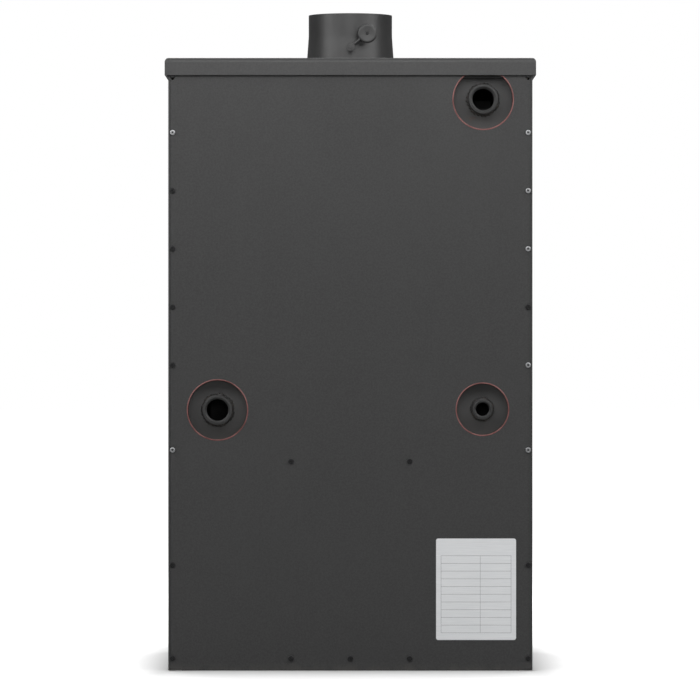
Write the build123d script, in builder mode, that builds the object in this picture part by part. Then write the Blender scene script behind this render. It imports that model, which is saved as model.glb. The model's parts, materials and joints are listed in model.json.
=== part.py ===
from build123d import *
from math import cos, radians, sin
import os

# Boiler stove, seen from the front along +Y: X to the right, Z up, millimetres.
# The origin is on the floor, under the middle of the stove's overall depth and width.

# Cabinet
body_width = 510.0
body_depth = 455.0
stove_top = 858.0
handle_projection = 75.0
socket_projection = 10.0
side_sheet = 2.5
back_sheet = 2.0
base_sheet = 3.0
frame_thickness = 12.0
return_flange = 16.0
flange_height = 32.0
panel_lift = 1.0
sheet_clearance = 0.5

# Lid
lid_edge = 24.5
lid_wall = 4.0
lid_side_overhang = 5.0
lid_rear_overhang = 5.0
lid_front_overhang = 25.0
lid_corner_radius = 8.0
lid_edge_radius = 6.0
panel_tuck = 15.0

# Log niche and shelf under the boiler
niche_side_margin = 35.0
niche_bottom = 20.0
niche_top = 280.0
liner_sheet = 2.0
shelf_top = 299.0
shelf_sheet = 3.0
shelf_flange = 18.0

# Boiler
boiler_side_gap = 21.0
boiler_rear_gap = 15.0
boiler_top_gap = 20.0
water_bottom = 320.0
shell_plate = 4.0
firebox_plate = 5.0
water_gap = 30.0
ring_plate = 5.0
plate_fit = 0.2
stay_radius = 8.0
ledge_width = 12.0
ledge_height = 10.0
stay_spread_along = 0.4
stay_spread_up = 0.43

# Water connections
flow_inset = 69.0
flow_z = 800.0
return_inset = 69.0
return_z = 365.0
drain_inset = 70.0
drain_z = 366.0
large_socket_radius = 21.0
large_bore_radius = 15.15
small_socket_radius = 14.5
small_bore_radius = 9.3
large_cutout_radius = 42.0
small_cutout_radius = 36.5
socket_chamfer = 1.0
socket_reach_inside = 10.0
trim_cover = 1.2
trim_thickness = 0.8

# Insulation
side_board = 18.0
rear_board = 11.0
top_board = 15.0
board_cutout_margin = 3.5
board_edge_gap = 5.0
board_top_gap = 1.0

# Back panel screws and data plate
screw_head_radius = 3.8
screw_head_height = 2.4
screw_head_round = 1.1
screw_shank_radius = 2.0
screw_length = 9.0
recess_width = 0.9
recess_length = 4.0
recess_depth = 1.3
screw_inset = 6.0
top_screw_drop = 4.5
upper_screw_drop = 80.0
upper_screw_pitch = 81.4
upper_screw_count = 5
low_screw_heights = (309.0, 148.0, 17.5)
zinc_right_index = (1, 6)
zinc_left_index = (1, 2, 3, 5, 6)
inner_screw_x = 83.0
shelf_screw_z = 293.0
base_screw_z = 17.0
plate_width = 112.0
plate_height = 142.0
plate_inset = 23.0
plate_z = 114.0
plate_thickness = 0.6
plate_corner = 3.0

# Flue
flue_rear_distance = 145.0
stub_radius = 62.5
stub_wall = 4.0
flue_flange_radius = 85.0
flue_flange = 6.0
stub_flange_top = 840.5
collar_gasket_thickness = 2.0
collar_height = 68.5
collar_rim_radius = 59.5
collar_base_radius = 62.25
collar_bore_radius = 55.5
collar_straight = 30.0
collar_gap = 1.0
bolt_circle = 74.0
bolt_radius = 4.0
bolt_head_radius = 7.0
bolt_head_height = 5.3
bolt_count = 4
first_bolt_angle = 45.0

# Flue damper
damper_drop = 48.5
damper_angle = 38.0
damper_flap_radius = 46.0
damper_flap_thickness = 3.0
damper_spindle_radius = 3.0
damper_spindle_flat = 2.0
damper_rivet_radius = 1.6
damper_rivet_head = 2.9
damper_rivet_spacing = 30.0
damper_lever_radius = 2.2
damper_lever_length = 30.5
damper_lever_distance = 72.0
damper_hub_radius = 4.2
damper_hub_half = 5.0
damper_knob_radius = 13.5
damper_knob_thickness = 7.0
damper_knob_round = 1.5
spindle_overhang = 4.0
running_fit = 0.05

# Front frame openings
fire_side_margin = 85.0
fire_bottom = 430.0
fire_top = 766.0
ash_side_margin = 85.0
ash_bottom = 304.0
ash_top = 372.0

# Fire door
door_side_margin = 40.0
door_bottom = 406.0
door_top = 790.0
door_thickness = 30.0
door_plate = 8.0
door_rim = 20.0
door_gap = 1.5
door_hinge_round = 8.0
door_front_round = 4.0
window_half_width = 130.0
window_bottom = 470.0
window_top = 740.0
window_corner = 12.0
glass_overlap = 12.0
glass_thickness = 4.0
glass_gasket_thickness = 1.5
glass_gasket_width = 10.0
rope_width = 9.6
rope_groove_width = 10.0
rope_groove_depth = 6.0
rope_round = 3.0
rope_gap = 0.3
clip_x = 80.0
clip_offset = 9.0
clip_boss_radius = 7.0
clip_width = 16.0
clip_length = 26.0
clip_reach = 6.0
clip_sheet = 2.0
clip_screw_radius = 2.5
clip_screw_head = 4.5
clip_screw_head_height = 3.0
clip_screw_round = 1.0
clip_screw_depth = 4.0

# Door hinge
hinge_inset = 10.0
hinge_pin_radius = 4.0
hinge_pin_depth = 30.0
hinge_pin_head_radius = 6.5
hinge_pin_head = 3.0
hinge_fit = 0.1
hinge_gap = 0.5
lug_height = 12.0
lug_radius = 12.0

# Door handle and latch
handle_x = 155.0
handle_z = 598.0
handle_spindle_radius = 5.0
handle_boss_radius = 12.0
handle_boss_gap = 1.5
handle_hub_gap = 0.3
handle_hub_radius = 13.0
handle_hub_round = 2.0
handle_tang_radius = 4.0
handle_arm_radius = 6.0
handle_length = 95.0
grip_start = 24.0
grip_radius = 9.0
grip_end_radius = 6.5
latch_thickness = 8.0
latch_hub_radius = 9.0
latch_width = 12.0
latch_length = 24.0
keeper_thickness = 3.5
keeper_width = 11.0
keeper_bottom = 575.0
keeper_height = 45.0
latch_gap = 1.0
spindle_end = 2.5

# Ash drawer
drawer_side_margin = 70.0
drawer_bottom = 301.0
drawer_top = 379.0
drawer_front_thickness = 12.0
drawer_front_gap = 0.5
drawer_front_round = 3.0
pan_side_gap = 10.0
pan_sheet = 2.0
pan_height = 41.0
pan_front_offset = 20.0
pan_rear_gap = 89.0
pan_tab_half_width = 80.0
pan_tab_height = 45.0
runner_inset = 24.0
runner_width = 12.0
runner_height = 6.0
slide_gap = 0.3
drawer_z = 340.0
drawer_handle_half = 60.0
drawer_handle_post = 45.0
drawer_handle_reach = 30.0
drawer_handle_radius = 6.0
drawer_post_radius = 5.0
drawer_stud_radius = 3.0

# Air rosettes
rosette_inset = 70.0
rosette_radius = 27.0
rosette_thickness = 3.0
rosette_gap = 0.3
rosette_hole_circle = 16.0
rosette_hole_radius = 5.0
rosette_hole_count = 4
rosette_turn = 45.0
rosette_knob_radius = 8.0
rosette_knob_height = 11.0
pivot_radius = 3.0
pivot_head_radius = 6.0
pivot_head_height = 3.5
pivot_head_round = 1.2

# Secondary air slider
slider_z = 812.0
slider_half_length = 130.0
slider_half_height = 8.7
slider_thickness = 2.2
slider_travel = 30.0
slider_slot_width = 28.0
slider_slot_height = 8.0
slider_slot_pitch = 60.0
slider_slot_count = 4
rail_half_length = 150.0
rail_height = 3.5
rail_lip = 2.0
rail_lip_thickness = 1.5
slider_stem_radius = 4.0
slider_stem = 6.5
slider_knob_radius = 8.0
slider_knob_length = 10.0

# Hearth, grate and firebricks
hearth_bottom = 395.0
hearth_plate_thickness = 6.0
hearth_fit = 0.5
hearth_opening_half_width = 92.0
hearth_front_width = 98.0
hearth_rear_width = 94.0
grate_thickness = 10.0
grate_border = 13.0
grate_slot_width = 8.0
grate_slot_margin = 10.0
grate_slot_pitch = 20.0
grate_slots = 8
riddling_thickness = 5.0
riddling_travel = 25.0
riddling_top_gap = 2.0
riddling_lip = 6.0
riddling_wall = 6.0
riddling_lip_thickness = 1.7
riddling_rod_x = 60.0
riddling_rod_radius = 3.0
riddling_boss = 16.0
riddling_boss_height = 8.0
riddling_boss_length = 10.0
riddling_bore_depth = 8.0
riddling_rod_reach = 6.0
riddling_hole_fit = 0.6
riddling_knob_radius = 9.0
riddling_knob_length = 20.0
riddling_knob_round = 2.25
brick_thickness = 24.0
brick_height = 99.0
brick_chamfer = 10.0
brick_front_gap = 18.0
guard_front_gap = 5.0
guard_thickness = 8.0
guard_side_gap = 20.0
guard_height = 45.0
guard_slot_height = 22.0
guard_slot_width = 12.0
guard_slot_pitch = 24.0
guard_slots = 11
baffle_bottom = 728.0
baffle_thickness = 14.0
baffle_front_gap = 98.0

# Thermometer
gauge_inset = 65.0
gauge_z = 812.0
gauge_radius = 18.0
gauge_depth = 8.0
gauge_recess_radius = 15.5
gauge_floor = 1.5
gauge_rim_round = 0.75
gauge_body_radius = 13.0
pocket_radius = 6.0
pocket_length = 55.0
dial_radius = 15.3
dial_thickness = 0.8
needle_length = 12.0
needle_width = 1.4
needle_thickness = 0.7
needle_hub_radius = 2.0
needle_gap = 0.6
needle_pivot_radius = 0.8
needle_start = 225.0
gauge_glass_thickness = 1.5
gauge_glass_inset = 1.0

# Planes and faces that the pieces share
overall_depth = body_depth + handle_projection + socket_projection
front_face = handle_projection - overall_depth / 2
back_face = overall_depth / 2 - socket_projection
frame_rear = front_face + frame_thickness
back_inner = back_face - back_sheet
side_inner = body_width / 2 - side_sheet
tray_half_width = side_inner - return_flange
tray_rear = back_inner - base_sheet
lid_underside = stove_top - lid_wall
skirt_bottom = stove_top - lid_edge
panel_top = skirt_bottom + panel_tuck
shell_half_width = side_inner - boiler_side_gap
shell_rear = back_inner - boiler_rear_gap
shell_inner_rear = shell_rear - shell_plate
shell_top = lid_underside - boiler_top_gap
firebox_half_width = shell_half_width - shell_plate - water_gap
firebox_rear = shell_inner_rear - water_gap
firebox_top = shell_top - shell_plate - water_gap
firebox_inner_half = firebox_half_width - firebox_plate
firebox_inner_rear = firebox_rear - firebox_plate
firebox_inner_top = firebox_top - firebox_plate
socket_end = back_face + socket_projection
flow_x = flow_inset - body_width / 2
return_x = body_width / 2 - return_inset
drain_x = drain_inset - body_width / 2
screw_column = body_width / 2 - screw_inset
plate_x = plate_inset + plate_width / 2 - body_width / 2
niche_half_width = body_width / 2 - niche_side_margin
stay_pitch_along = stay_spread_along * (firebox_rear - frame_rear)
stay_pitch_up = stay_spread_up * (firebox_top - water_bottom)
flue_y = back_face - flue_rear_distance
collar_top = stove_top + collar_height
damper_z = collar_top - damper_drop
damper_lever_y = flue_y + damper_lever_distance
fire_half_width = body_width / 2 - fire_side_margin
ash_half_width = body_width / 2 - ash_side_margin
door_half_width = body_width / 2 - door_side_margin
door_rear = front_face - door_gap
door_front = door_rear - door_thickness
hinge_x = hinge_inset - door_half_width
hinge_y = door_rear - door_thickness / 2
handle_y = front_face - handle_projection + grip_radius
plate_rear = door_front + door_plate
glass_front = plate_rear + glass_gasket_thickness
glass_rear = glass_front + glass_thickness
drawer_half_width = body_width / 2 - drawer_side_margin
drawer_rear = front_face - drawer_front_gap
drawer_front = drawer_rear - drawer_front_thickness
rosette_x = drawer_half_width - rosette_inset
pan_half_width = ash_half_width - pan_side_gap
pan_rear = firebox_inner_rear - pan_rear_gap
pan_bottom = shelf_top + runner_height + slide_gap
runner_x = pan_half_width - runner_inset
hearth_top = hearth_bottom + hearth_plate_thickness
hearth_opening_front = frame_rear + hearth_front_width
hearth_opening_rear = firebox_inner_rear - hearth_rear_width
grate_slot_length = (hearth_opening_rear - hearth_opening_front - 2 * grate_slot_margin - grate_border) / 2
riddling_front = hearth_opening_front
riddling_rear = hearth_opening_rear - riddling_travel
riddling_top = hearth_bottom - riddling_top_gap
riddling_bottom = riddling_top - riddling_thickness
riddling_rod_z = (riddling_top + riddling_bottom) / 2
riddling_half_width = hearth_opening_half_width + riddling_lip - slide_gap
brick_front = frame_rear + brick_front_gap
guard_front = frame_rear + guard_front_gap
guard_half_width = fire_half_width - guard_side_gap
baffle_front = frame_rear + baffle_front_gap
gauge_x = body_width / 2 - gauge_inset

sockets = (
    (flow_x, flow_z, large_socket_radius, large_cutout_radius),
    (return_x, return_z, large_socket_radius, large_cutout_radius),
    (drain_x, drain_z, small_socket_radius, small_cutout_radius),
)
side_screw_heights = (
    [skirt_bottom - top_screw_drop]
    + [skirt_bottom - upper_screw_drop - i * upper_screw_pitch for i in range(upper_screw_count)]
    + list(low_screw_heights)
)
inner_screw_points = [(x, shelf_screw_z) for x in (-inner_screw_x, inner_screw_x)] + [
    (x, base_screw_z) for x in (-inner_screw_x, 0.0, inner_screw_x)
]
clip_points = [
    (x, z)
    for x in (-clip_x, clip_x)
    for z in (window_bottom - glass_overlap - clip_offset, window_top + glass_overlap + clip_offset)
]


def upright(y):
    """The plane that stands at depth y, with X across and Z up. It extrudes towards the front."""
    return Plane.XZ.offset(-y)


def block(x0, x1, y0, y1, z0, z1, mode=Mode.ADD):
    """A rectangular block between two corners."""
    with Locations(((x0 + x1) / 2, (y0 + y1) / 2, (z0 + z1) / 2)):
        Box(x1 - x0, y1 - y0, z1 - z0, mode=mode)


def window(x0, x1, z0, z1, mode=Mode.ADD):
    """A rectangle between two corners of a sketch."""
    with Locations(((x0 + x1) / 2, (z0 + z1) / 2)):
        Rectangle(x1 - x0, z1 - z0, mode=mode)


def bore(y0, y1, points, radius):
    """Round holes along Y, from depth y0 to depth y1."""
    with BuildSketch(upright(y1)) as circles:
        with Locations(*points):
            Circle(radius)
    extrude(circles.sketch, amount=y1 - y0, mode=Mode.SUBTRACT)


def rod(y0, y1, points, radius):
    """Round rods along Y, from depth y0 to depth y1."""
    with BuildSketch(upright(y1)) as circles:
        with Locations(*points):
            Circle(radius)
    extrude(circles.sketch, amount=y1 - y0)


def save(piece, name):
    """Labels a finished piece and writes it."""
    piece.part.label = name
    export_step(piece.part, f"parts/{name}.step")


# Base plate with upturned edges
with BuildPart() as base_plate:
    block(-tray_half_width, tray_half_width, frame_rear, back_inner, 0, base_sheet)
    block(-tray_half_width, tray_half_width, tray_rear, back_inner, 0, flange_height)
    for side in (-1, 1):
        outer = side * tray_half_width
        inner = side * (tray_half_width - base_sheet)
        block(min(outer, inner), max(outer, inner), frame_rear, back_inner, 0, flange_height)
    bore(tray_rear, back_inner, [(x, base_screw_z) for x in (-inner_screw_x, 0.0, inner_screw_x)],
         screw_shank_radius)
save(base_plate, "base_plate")


# Side panels, folded inwards at the front, rear and top
def make_side_panel(side):
    """One side panel; side is -1 for the left and 1 for the right, seen from the front."""
    outer = side * body_width / 2
    inner = side * side_inner
    fold = side * tray_half_width
    with BuildPart() as panel:
        block(min(outer, inner), max(outer, inner), front_face, back_face, panel_lift, lid_underside)
        folds = ((frame_rear, frame_rear + side_sheet), (back_inner - side_sheet, back_inner))
        for y0, y1 in folds:
            block(min(fold, inner), max(fold, inner), y0, y1, panel_lift, lid_underside)
        block(min(fold, inner), max(fold, inner), frame_rear, back_inner,
              lid_underside - side_sheet, lid_underside)
        bore(back_inner - side_sheet, back_inner,
             [(side * screw_column, z) for z in side_screw_heights], screw_shank_radius)
    return panel


save(make_side_panel(-1), "left_side_panel")
save(make_side_panel(1), "right_side_panel")


# Back panel with the three round cut-outs
with BuildPart() as back_panel:
    half = side_inner - sheet_clearance
    with BuildSketch(upright(back_face)):
        window(-half, half, panel_lift, panel_top)
        for x, z, socket_radius, cutout_radius in sockets:
            with Locations((x, z)):
                Circle(cutout_radius, mode=Mode.SUBTRACT)
        with Locations(*[(side * screw_column, z) for side in (-1, 1) for z in side_screw_heights]):
            Circle(screw_shank_radius, mode=Mode.SUBTRACT)
        with Locations(*inner_screw_points):
            Circle(screw_shank_radius, mode=Mode.SUBTRACT)
    extrude(amount=back_sheet)
save(back_panel, "back_panel")


# Lid with a turned-down edge and the flue hole
with BuildPart() as top_lid:
    half = body_width / 2 + lid_side_overhang
    front = front_face - lid_front_overhang
    rear = back_face + lid_rear_overhang
    block(-half, half, front, rear, skirt_bottom, stove_top)
    fillet(top_lid.edges().filter_by(Axis.Z), lid_corner_radius)
    fillet(top_lid.faces().sort_by(Axis.Z)[-1].edges(), lid_edge_radius)
    with BuildSketch(Plane.XY.offset(skirt_bottom)):
        with Locations((0, (front + rear) / 2)):
            RectangleRounded(2 * (half - lid_wall), rear - front - 2 * lid_wall,
                             lid_corner_radius - lid_wall)
    extrude(amount=lid_edge - lid_wall, mode=Mode.SUBTRACT)
    with BuildSketch(Plane.XY.offset(lid_underside)):
        with Locations((0, flue_y)):
            Circle(collar_base_radius + collar_gap)
    extrude(amount=lid_wall, mode=Mode.SUBTRACT)
save(top_lid, "top_lid")


# Cast front frame with its openings and the door hinge lugs
with BuildPart() as front_frame:
    half = side_inner - sheet_clearance
    with BuildSketch(upright(frame_rear)):
        window(-half, half, 0, lid_underside)
        window(-niche_half_width, niche_half_width, niche_bottom, niche_top, mode=Mode.SUBTRACT)
        window(-ash_half_width, ash_half_width, ash_bottom, ash_top, mode=Mode.SUBTRACT)
        window(-fire_half_width, fire_half_width, fire_bottom, fire_top, mode=Mode.SUBTRACT)
        with Locations((0, slider_z)):
            with GridLocations(slider_slot_pitch, 0, slider_slot_count, 1):
                Rectangle(slider_slot_width, slider_slot_height, mode=Mode.SUBTRACT)
        with Locations((gauge_x, gauge_z)):
            Circle(gauge_body_radius, mode=Mode.SUBTRACT)
        with Locations((riddling_rod_x, riddling_rod_z)):
            Circle(riddling_rod_radius + riddling_hole_fit, mode=Mode.SUBTRACT)
    extrude(amount=frame_thickness)
    for z0 in (door_bottom - hinge_gap - lug_height, door_top + hinge_gap):
        with BuildSketch(Plane.XY.offset(z0)):
            with Locations((hinge_x, (front_face + hinge_y) / 2)):
                Rectangle(2 * lug_radius, front_face - hinge_y)
            with Locations((hinge_x, hinge_y)):
                Circle(lug_radius)
                Circle(hinge_pin_radius, mode=Mode.SUBTRACT)
        extrude(amount=lug_height)
    # Pad behind the right edge of the fire opening, which the latch hooks over
    block(fire_half_width, fire_half_width + keeper_width, frame_rear, frame_rear + keeper_thickness,
          keeper_bottom, keeper_bottom + keeper_height)
save(front_frame, "front_frame")


# Log niche liner and the shelf that carries the boiler
with BuildPart() as log_niche_liner:
    outer = niche_half_width + liner_sheet
    rear = shell_inner_rear - liner_sheet
    block(-outer, outer, frame_rear, rear + liner_sheet, base_sheet, shelf_top - shelf_sheet)
    block(-niche_half_width, niche_half_width, frame_rear, rear, base_sheet, shelf_top - shelf_sheet,
          mode=Mode.SUBTRACT)
save(log_niche_liner, "log_niche_liner")

with BuildPart() as boiler_shelf:
    block(-tray_half_width, tray_half_width, frame_rear, back_inner, shelf_top - shelf_sheet, shelf_top)
    block(-tray_half_width, tray_half_width, back_inner - shelf_sheet, back_inner,
          shelf_top - shelf_flange, shelf_top)
    bore(back_inner - shelf_sheet, back_inner, [(x, shelf_screw_z) for x in (-inner_screw_x, inner_screw_x)],
         screw_shank_radius)
save(boiler_shelf, "boiler_shelf")


# Boiler: outer shell, inner shell, closing ring, stays and flue stub
with BuildPart() as boiler_outer_shell:
    # A folded wrapper, with the rear plate fitted inside it
    inner = shell_half_width - shell_plate
    block(-shell_half_width, shell_half_width, frame_rear, shell_rear, water_bottom, shell_top)
    block(-inner, inner, frame_rear, shell_rear, water_bottom, shell_top - shell_plate,
          mode=Mode.SUBTRACT)
    block(plate_fit - inner, inner - plate_fit, shell_inner_rear, shell_rear, water_bottom,
          shell_top - shell_plate - plate_fit)
    for x, z, socket_radius, cutout_radius in sockets:
        bore(shell_inner_rear, shell_rear, [(x, z)], socket_radius)
    with BuildSketch(Plane.XY.offset(shell_top - shell_plate)):
        with Locations((0, flue_y)):
            Circle(stub_radius)
    extrude(amount=shell_plate, mode=Mode.SUBTRACT)
save(boiler_outer_shell, "boiler_outer_shell")

with BuildPart() as boiler_inner_shell:
    block(-firebox_half_width, firebox_half_width, frame_rear, firebox_rear, shelf_top, firebox_top)
    block(-firebox_inner_half, firebox_inner_half, frame_rear, firebox_inner_rear, shelf_top,
          firebox_inner_top, mode=Mode.SUBTRACT)
    with BuildSketch(Plane.XY.offset(firebox_inner_top)):
        with Locations((0, flue_y)):
            Circle(stub_radius)
    extrude(amount=firebox_plate, mode=Mode.SUBTRACT)
    # Ledges that carry the hearth plate and the smoke baffle
    for top, front in ((hearth_bottom, frame_rear), (baffle_bottom, baffle_front)):
        for side in (-1, 1):
            outer = side * firebox_inner_half
            inner = side * (firebox_inner_half - ledge_width)
            block(min(outer, inner), max(outer, inner), front, firebox_inner_rear,
                  top - ledge_height, top)
save(boiler_inner_shell, "boiler_inner_shell")

with BuildPart() as jacket_closing_ring:
    outer = shell_half_width - shell_plate
    block(-outer, outer, frame_rear, frame_rear + ring_plate, water_bottom, shell_top - shell_plate)
    block(-outer, outer, frame_rear, shell_inner_rear, water_bottom, water_bottom + ring_plate)
    block(-firebox_half_width, firebox_half_width, frame_rear, firebox_rear, water_bottom, firebox_top,
          mode=Mode.SUBTRACT)
    bore(frame_rear, frame_rear + ring_plate, [(gauge_x, gauge_z)], pocket_radius)
save(jacket_closing_ring, "jacket_closing_ring")

with BuildPart() as jacket_stays:
    for side, plane in ((1, Plane.YZ.offset(firebox_half_width)),
                        (-1, Plane.YZ.offset(-firebox_half_width - water_gap))):
        with BuildSketch(plane):
            with Locations((0, (water_bottom + firebox_top) / 2)):
                with GridLocations(stay_pitch_along, stay_pitch_up, 2, 2):
                    Circle(stay_radius)
        extrude(amount=water_gap)
    with BuildSketch(upright(shell_inner_rear)):
        with Locations((0, (water_bottom + firebox_top) / 2)):
            with GridLocations(stay_pitch_along, stay_pitch_up, 2, 2):
                Circle(stay_radius)
    extrude(amount=water_gap)
save(jacket_stays, "jacket_stays")

with BuildPart() as flue_stub:
    with BuildSketch(Plane.XY.offset(firebox_inner_top)):
        with Locations((0, flue_y)):
            Circle(stub_radius)
    extrude(amount=stub_flange_top - firebox_inner_top)
    with BuildSketch(Plane.XY.offset(stub_flange_top - flue_flange)):
        with Locations((0, flue_y)):
            Circle(flue_flange_radius)
            with PolarLocations(bolt_circle, bolt_count, start_angle=first_bolt_angle):
                Circle(bolt_radius, mode=Mode.SUBTRACT)
    extrude(amount=flue_flange)
    with BuildSketch(Plane.XY.offset(firebox_inner_top)):
        with Locations((0, flue_y)):
            Circle(stub_radius - stub_wall)
    extrude(amount=stub_flange_top - firebox_inner_top, mode=Mode.SUBTRACT)
save(flue_stub, "flue_stub")


# Threaded water sockets, red edge trims of the cut-outs
def make_socket(x, z, outer_radius, bore_radius):
    """A pipe socket that passes through the boiler's rear wall and stands proud of the back panel."""
    with BuildPart() as socket:
        with BuildSketch(upright(socket_end)):
            with Locations((x, z)):
                Circle(outer_radius)
                Circle(bore_radius, mode=Mode.SUBTRACT)
        extrude(amount=socket_end - shell_inner_rear + socket_reach_inside)
        chamfer(socket.faces().sort_by(Axis.Y)[-1].edges(), socket_chamfer)
    return socket


save(make_socket(flow_x, flow_z, large_socket_radius, large_bore_radius), "flow_socket")
save(make_socket(return_x, return_z, large_socket_radius, large_bore_radius), "return_socket")
save(make_socket(drain_x, drain_z, small_socket_radius, small_bore_radius), "drain_socket")

with BuildPart() as cutout_trims:
    for x, z, socket_radius, cutout_radius in sockets:
        with BuildSketch(upright(back_face + trim_thickness)):
            with Locations((x, z)):
                Circle(cutout_radius + trim_cover)
                Circle(cutout_radius - trim_thickness, mode=Mode.SUBTRACT)
        extrude(amount=back_sheet + 2 * trim_thickness)
        with BuildSketch(upright(back_face)):
            with Locations((x, z)):
                Circle(cutout_radius + 2 * trim_cover)
                Circle(cutout_radius, mode=Mode.SUBTRACT)
        extrude(amount=back_sheet, mode=Mode.SUBTRACT)
save(cutout_trims, "cutout_trims")


# Insulation boards round the boiler
with BuildPart() as insulation_boards:
    board_top = shell_top - board_top_gap
    front = frame_rear + board_edge_gap
    for side in (-1, 1):
        near = side * shell_half_width
        far = side * (shell_half_width + side_board)
        block(min(near, far), max(near, far), front, shell_rear - board_edge_gap, shelf_top, board_top)
    half = shell_half_width - board_edge_gap
    with BuildSketch(upright(shell_rear + rear_board)):
        window(-half, half, shelf_top, board_top)
        for x, z, socket_radius, cutout_radius in sockets:
            with Locations((x, z)):
                Circle(cutout_radius + board_cutout_margin, mode=Mode.SUBTRACT)
    extrude(amount=rear_board)
    with BuildSketch(Plane.XY.offset(shell_top)):
        window(-half, half, front, shell_rear - board_edge_gap)
        with Locations((0, flue_y)):
            Circle(flue_flange_radius + board_cutout_margin, mode=Mode.SUBTRACT)
    extrude(amount=top_board)
save(insulation_boards, "insulation_boards")


# Back panel screws, cross-recessed, in bright zinc and in black
def make_panel_screws(points):
    """A group of pan-head screws driven into the back panel at the given X, Z points."""
    with BuildPart() as screws:
        with BuildSketch(upright(back_face + screw_head_height)):
            with Locations(*points):
                Circle(screw_head_radius)
        extrude(amount=screw_head_height)
        fillet(screws.edges().group_by(Axis.Y)[-1], screw_head_round)
        with BuildSketch(upright(back_face + screw_head_height)):
            with Locations(*points):
                Rectangle(recess_width, recess_length)
                Rectangle(recess_length, recess_width)
        extrude(amount=recess_depth, mode=Mode.SUBTRACT)
        rod(back_face - screw_length, back_face, points, screw_shank_radius)
    return screws


right_points = [(screw_column, z) for z in side_screw_heights]
left_points = [(-screw_column, z) for z in side_screw_heights]
zinc_points = [right_points[i] for i in zinc_right_index] + [left_points[i] for i in zinc_left_index]
black_points = [p for p in right_points + left_points + inner_screw_points if p not in zinc_points]
save(make_panel_screws(zinc_points), "zinc_panel_screws")
save(make_panel_screws(black_points), "black_panel_screws")

with BuildPart() as data_plate:
    with BuildSketch(upright(back_face + plate_thickness)):
        with Locations((plate_x, plate_z)):
            RectangleRounded(plate_width, plate_height, plate_corner)
    extrude(amount=plate_thickness)
save(data_plate, "data_plate")


# Flue collar, its gasket and bolts
gasket_top = stub_flange_top + collar_gasket_thickness
collar_flange_top = gasket_top + flue_flange
with BuildPart() as collar_gasket:
    with BuildSketch(Plane.XY.offset(stub_flange_top)):
        with Locations((0, flue_y)):
            Circle(flue_flange_radius)
            Circle(stub_radius - stub_wall, mode=Mode.SUBTRACT)
            with PolarLocations(bolt_circle, bolt_count, start_angle=first_bolt_angle):
                Circle(bolt_radius, mode=Mode.SUBTRACT)
    extrude(amount=collar_gasket_thickness)
save(collar_gasket, "collar_gasket")

with BuildPart() as flue_collar:
    with BuildSketch(Plane.XZ.offset(-flue_y)):
        with BuildLine():
            Polyline(
                (collar_bore_radius, gasket_top),
                (flue_flange_radius, gasket_top),
                (flue_flange_radius, collar_flange_top),
                (collar_base_radius, collar_flange_top),
                (collar_base_radius, stove_top),
                (collar_rim_radius, collar_top - collar_straight),
                (collar_rim_radius, collar_top),
                (collar_bore_radius, collar_top),
                close=True,
            )
        make_face()
    revolve(axis=Axis((0, flue_y, 0), (0, 0, 1)))
    with BuildSketch(Plane.XY.offset(gasket_top)):
        with Locations((0, flue_y)):
            with PolarLocations(bolt_circle, bolt_count, start_angle=first_bolt_angle):
                Circle(bolt_radius)
    extrude(amount=flue_flange, mode=Mode.SUBTRACT)
    bore(flue_y - collar_base_radius, flue_y + collar_base_radius, [(0, damper_z)],
         damper_spindle_radius + running_fit)
save(flue_collar, "flue_collar")

with BuildPart() as collar_bolts:
    with BuildSketch(Plane.XY.offset(stub_flange_top - flue_flange)):
        with Locations((0, flue_y)):
            with PolarLocations(bolt_circle, bolt_count, start_angle=first_bolt_angle):
                Circle(bolt_radius)
    extrude(amount=collar_flange_top - stub_flange_top + flue_flange)
    with BuildSketch(Plane.XY.offset(collar_flange_top)):
        with Locations((0, flue_y)):
            with PolarLocations(bolt_circle, bolt_count, start_angle=first_bolt_angle):
                RegularPolygon(bolt_head_radius, 6)
    extrude(amount=bolt_head_height)
save(collar_bolts, "collar_bolts")


# Flue damper: flap, spindle, rivets, lever and knob, at the angle that the lever stands at
turn = radians(damper_angle)
lever_way = (-cos(turn), 0, sin(turn))
flap_normal = (sin(turn), 0, cos(turn))
flap_plane = Plane(origin=(0, flue_y, damper_z), x_dir=lever_way, z_dir=flap_normal)
with BuildPart() as damper_flap:
    with BuildSketch(flap_plane.offset(damper_spindle_flat)):
        Circle(damper_flap_radius)
        with GridLocations(0, damper_rivet_spacing, 1, 2):
            Circle(damper_rivet_radius, mode=Mode.SUBTRACT)
    extrude(amount=damper_flap_thickness)
save(damper_flap, "damper_flap")

with BuildPart() as damper_spindle:
    rod(flue_y - collar_base_radius - spindle_overhang, damper_lever_y + damper_hub_half, [(0, damper_z)],
        damper_spindle_radius)
    with BuildSketch(flap_plane.offset(damper_spindle_flat)):
        Rectangle(4 * damper_spindle_radius, 2 * damper_flap_radius)
    extrude(amount=damper_spindle_radius, mode=Mode.SUBTRACT)
    with BuildSketch(flap_plane.offset(-damper_spindle_radius)):
        with GridLocations(0, damper_rivet_spacing, 1, 2):
            Circle(damper_rivet_radius)
    extrude(amount=2 * damper_spindle_radius, mode=Mode.SUBTRACT)
save(damper_spindle, "damper_spindle")

with BuildPart() as damper_rivets:
    with BuildSketch(flap_plane.offset(-damper_spindle_radius)):
        with GridLocations(0, damper_rivet_spacing, 1, 2):
            Circle(damper_rivet_radius)
    extrude(amount=damper_spindle_radius + damper_spindle_flat + damper_flap_thickness)
    with BuildSketch(flap_plane.offset(damper_spindle_flat + damper_flap_thickness)):
        with GridLocations(0, damper_rivet_spacing, 1, 2):
            Circle(damper_rivet_head)
    extrude(amount=damper_rivet_radius)
save(damper_rivets, "damper_rivets")

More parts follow.
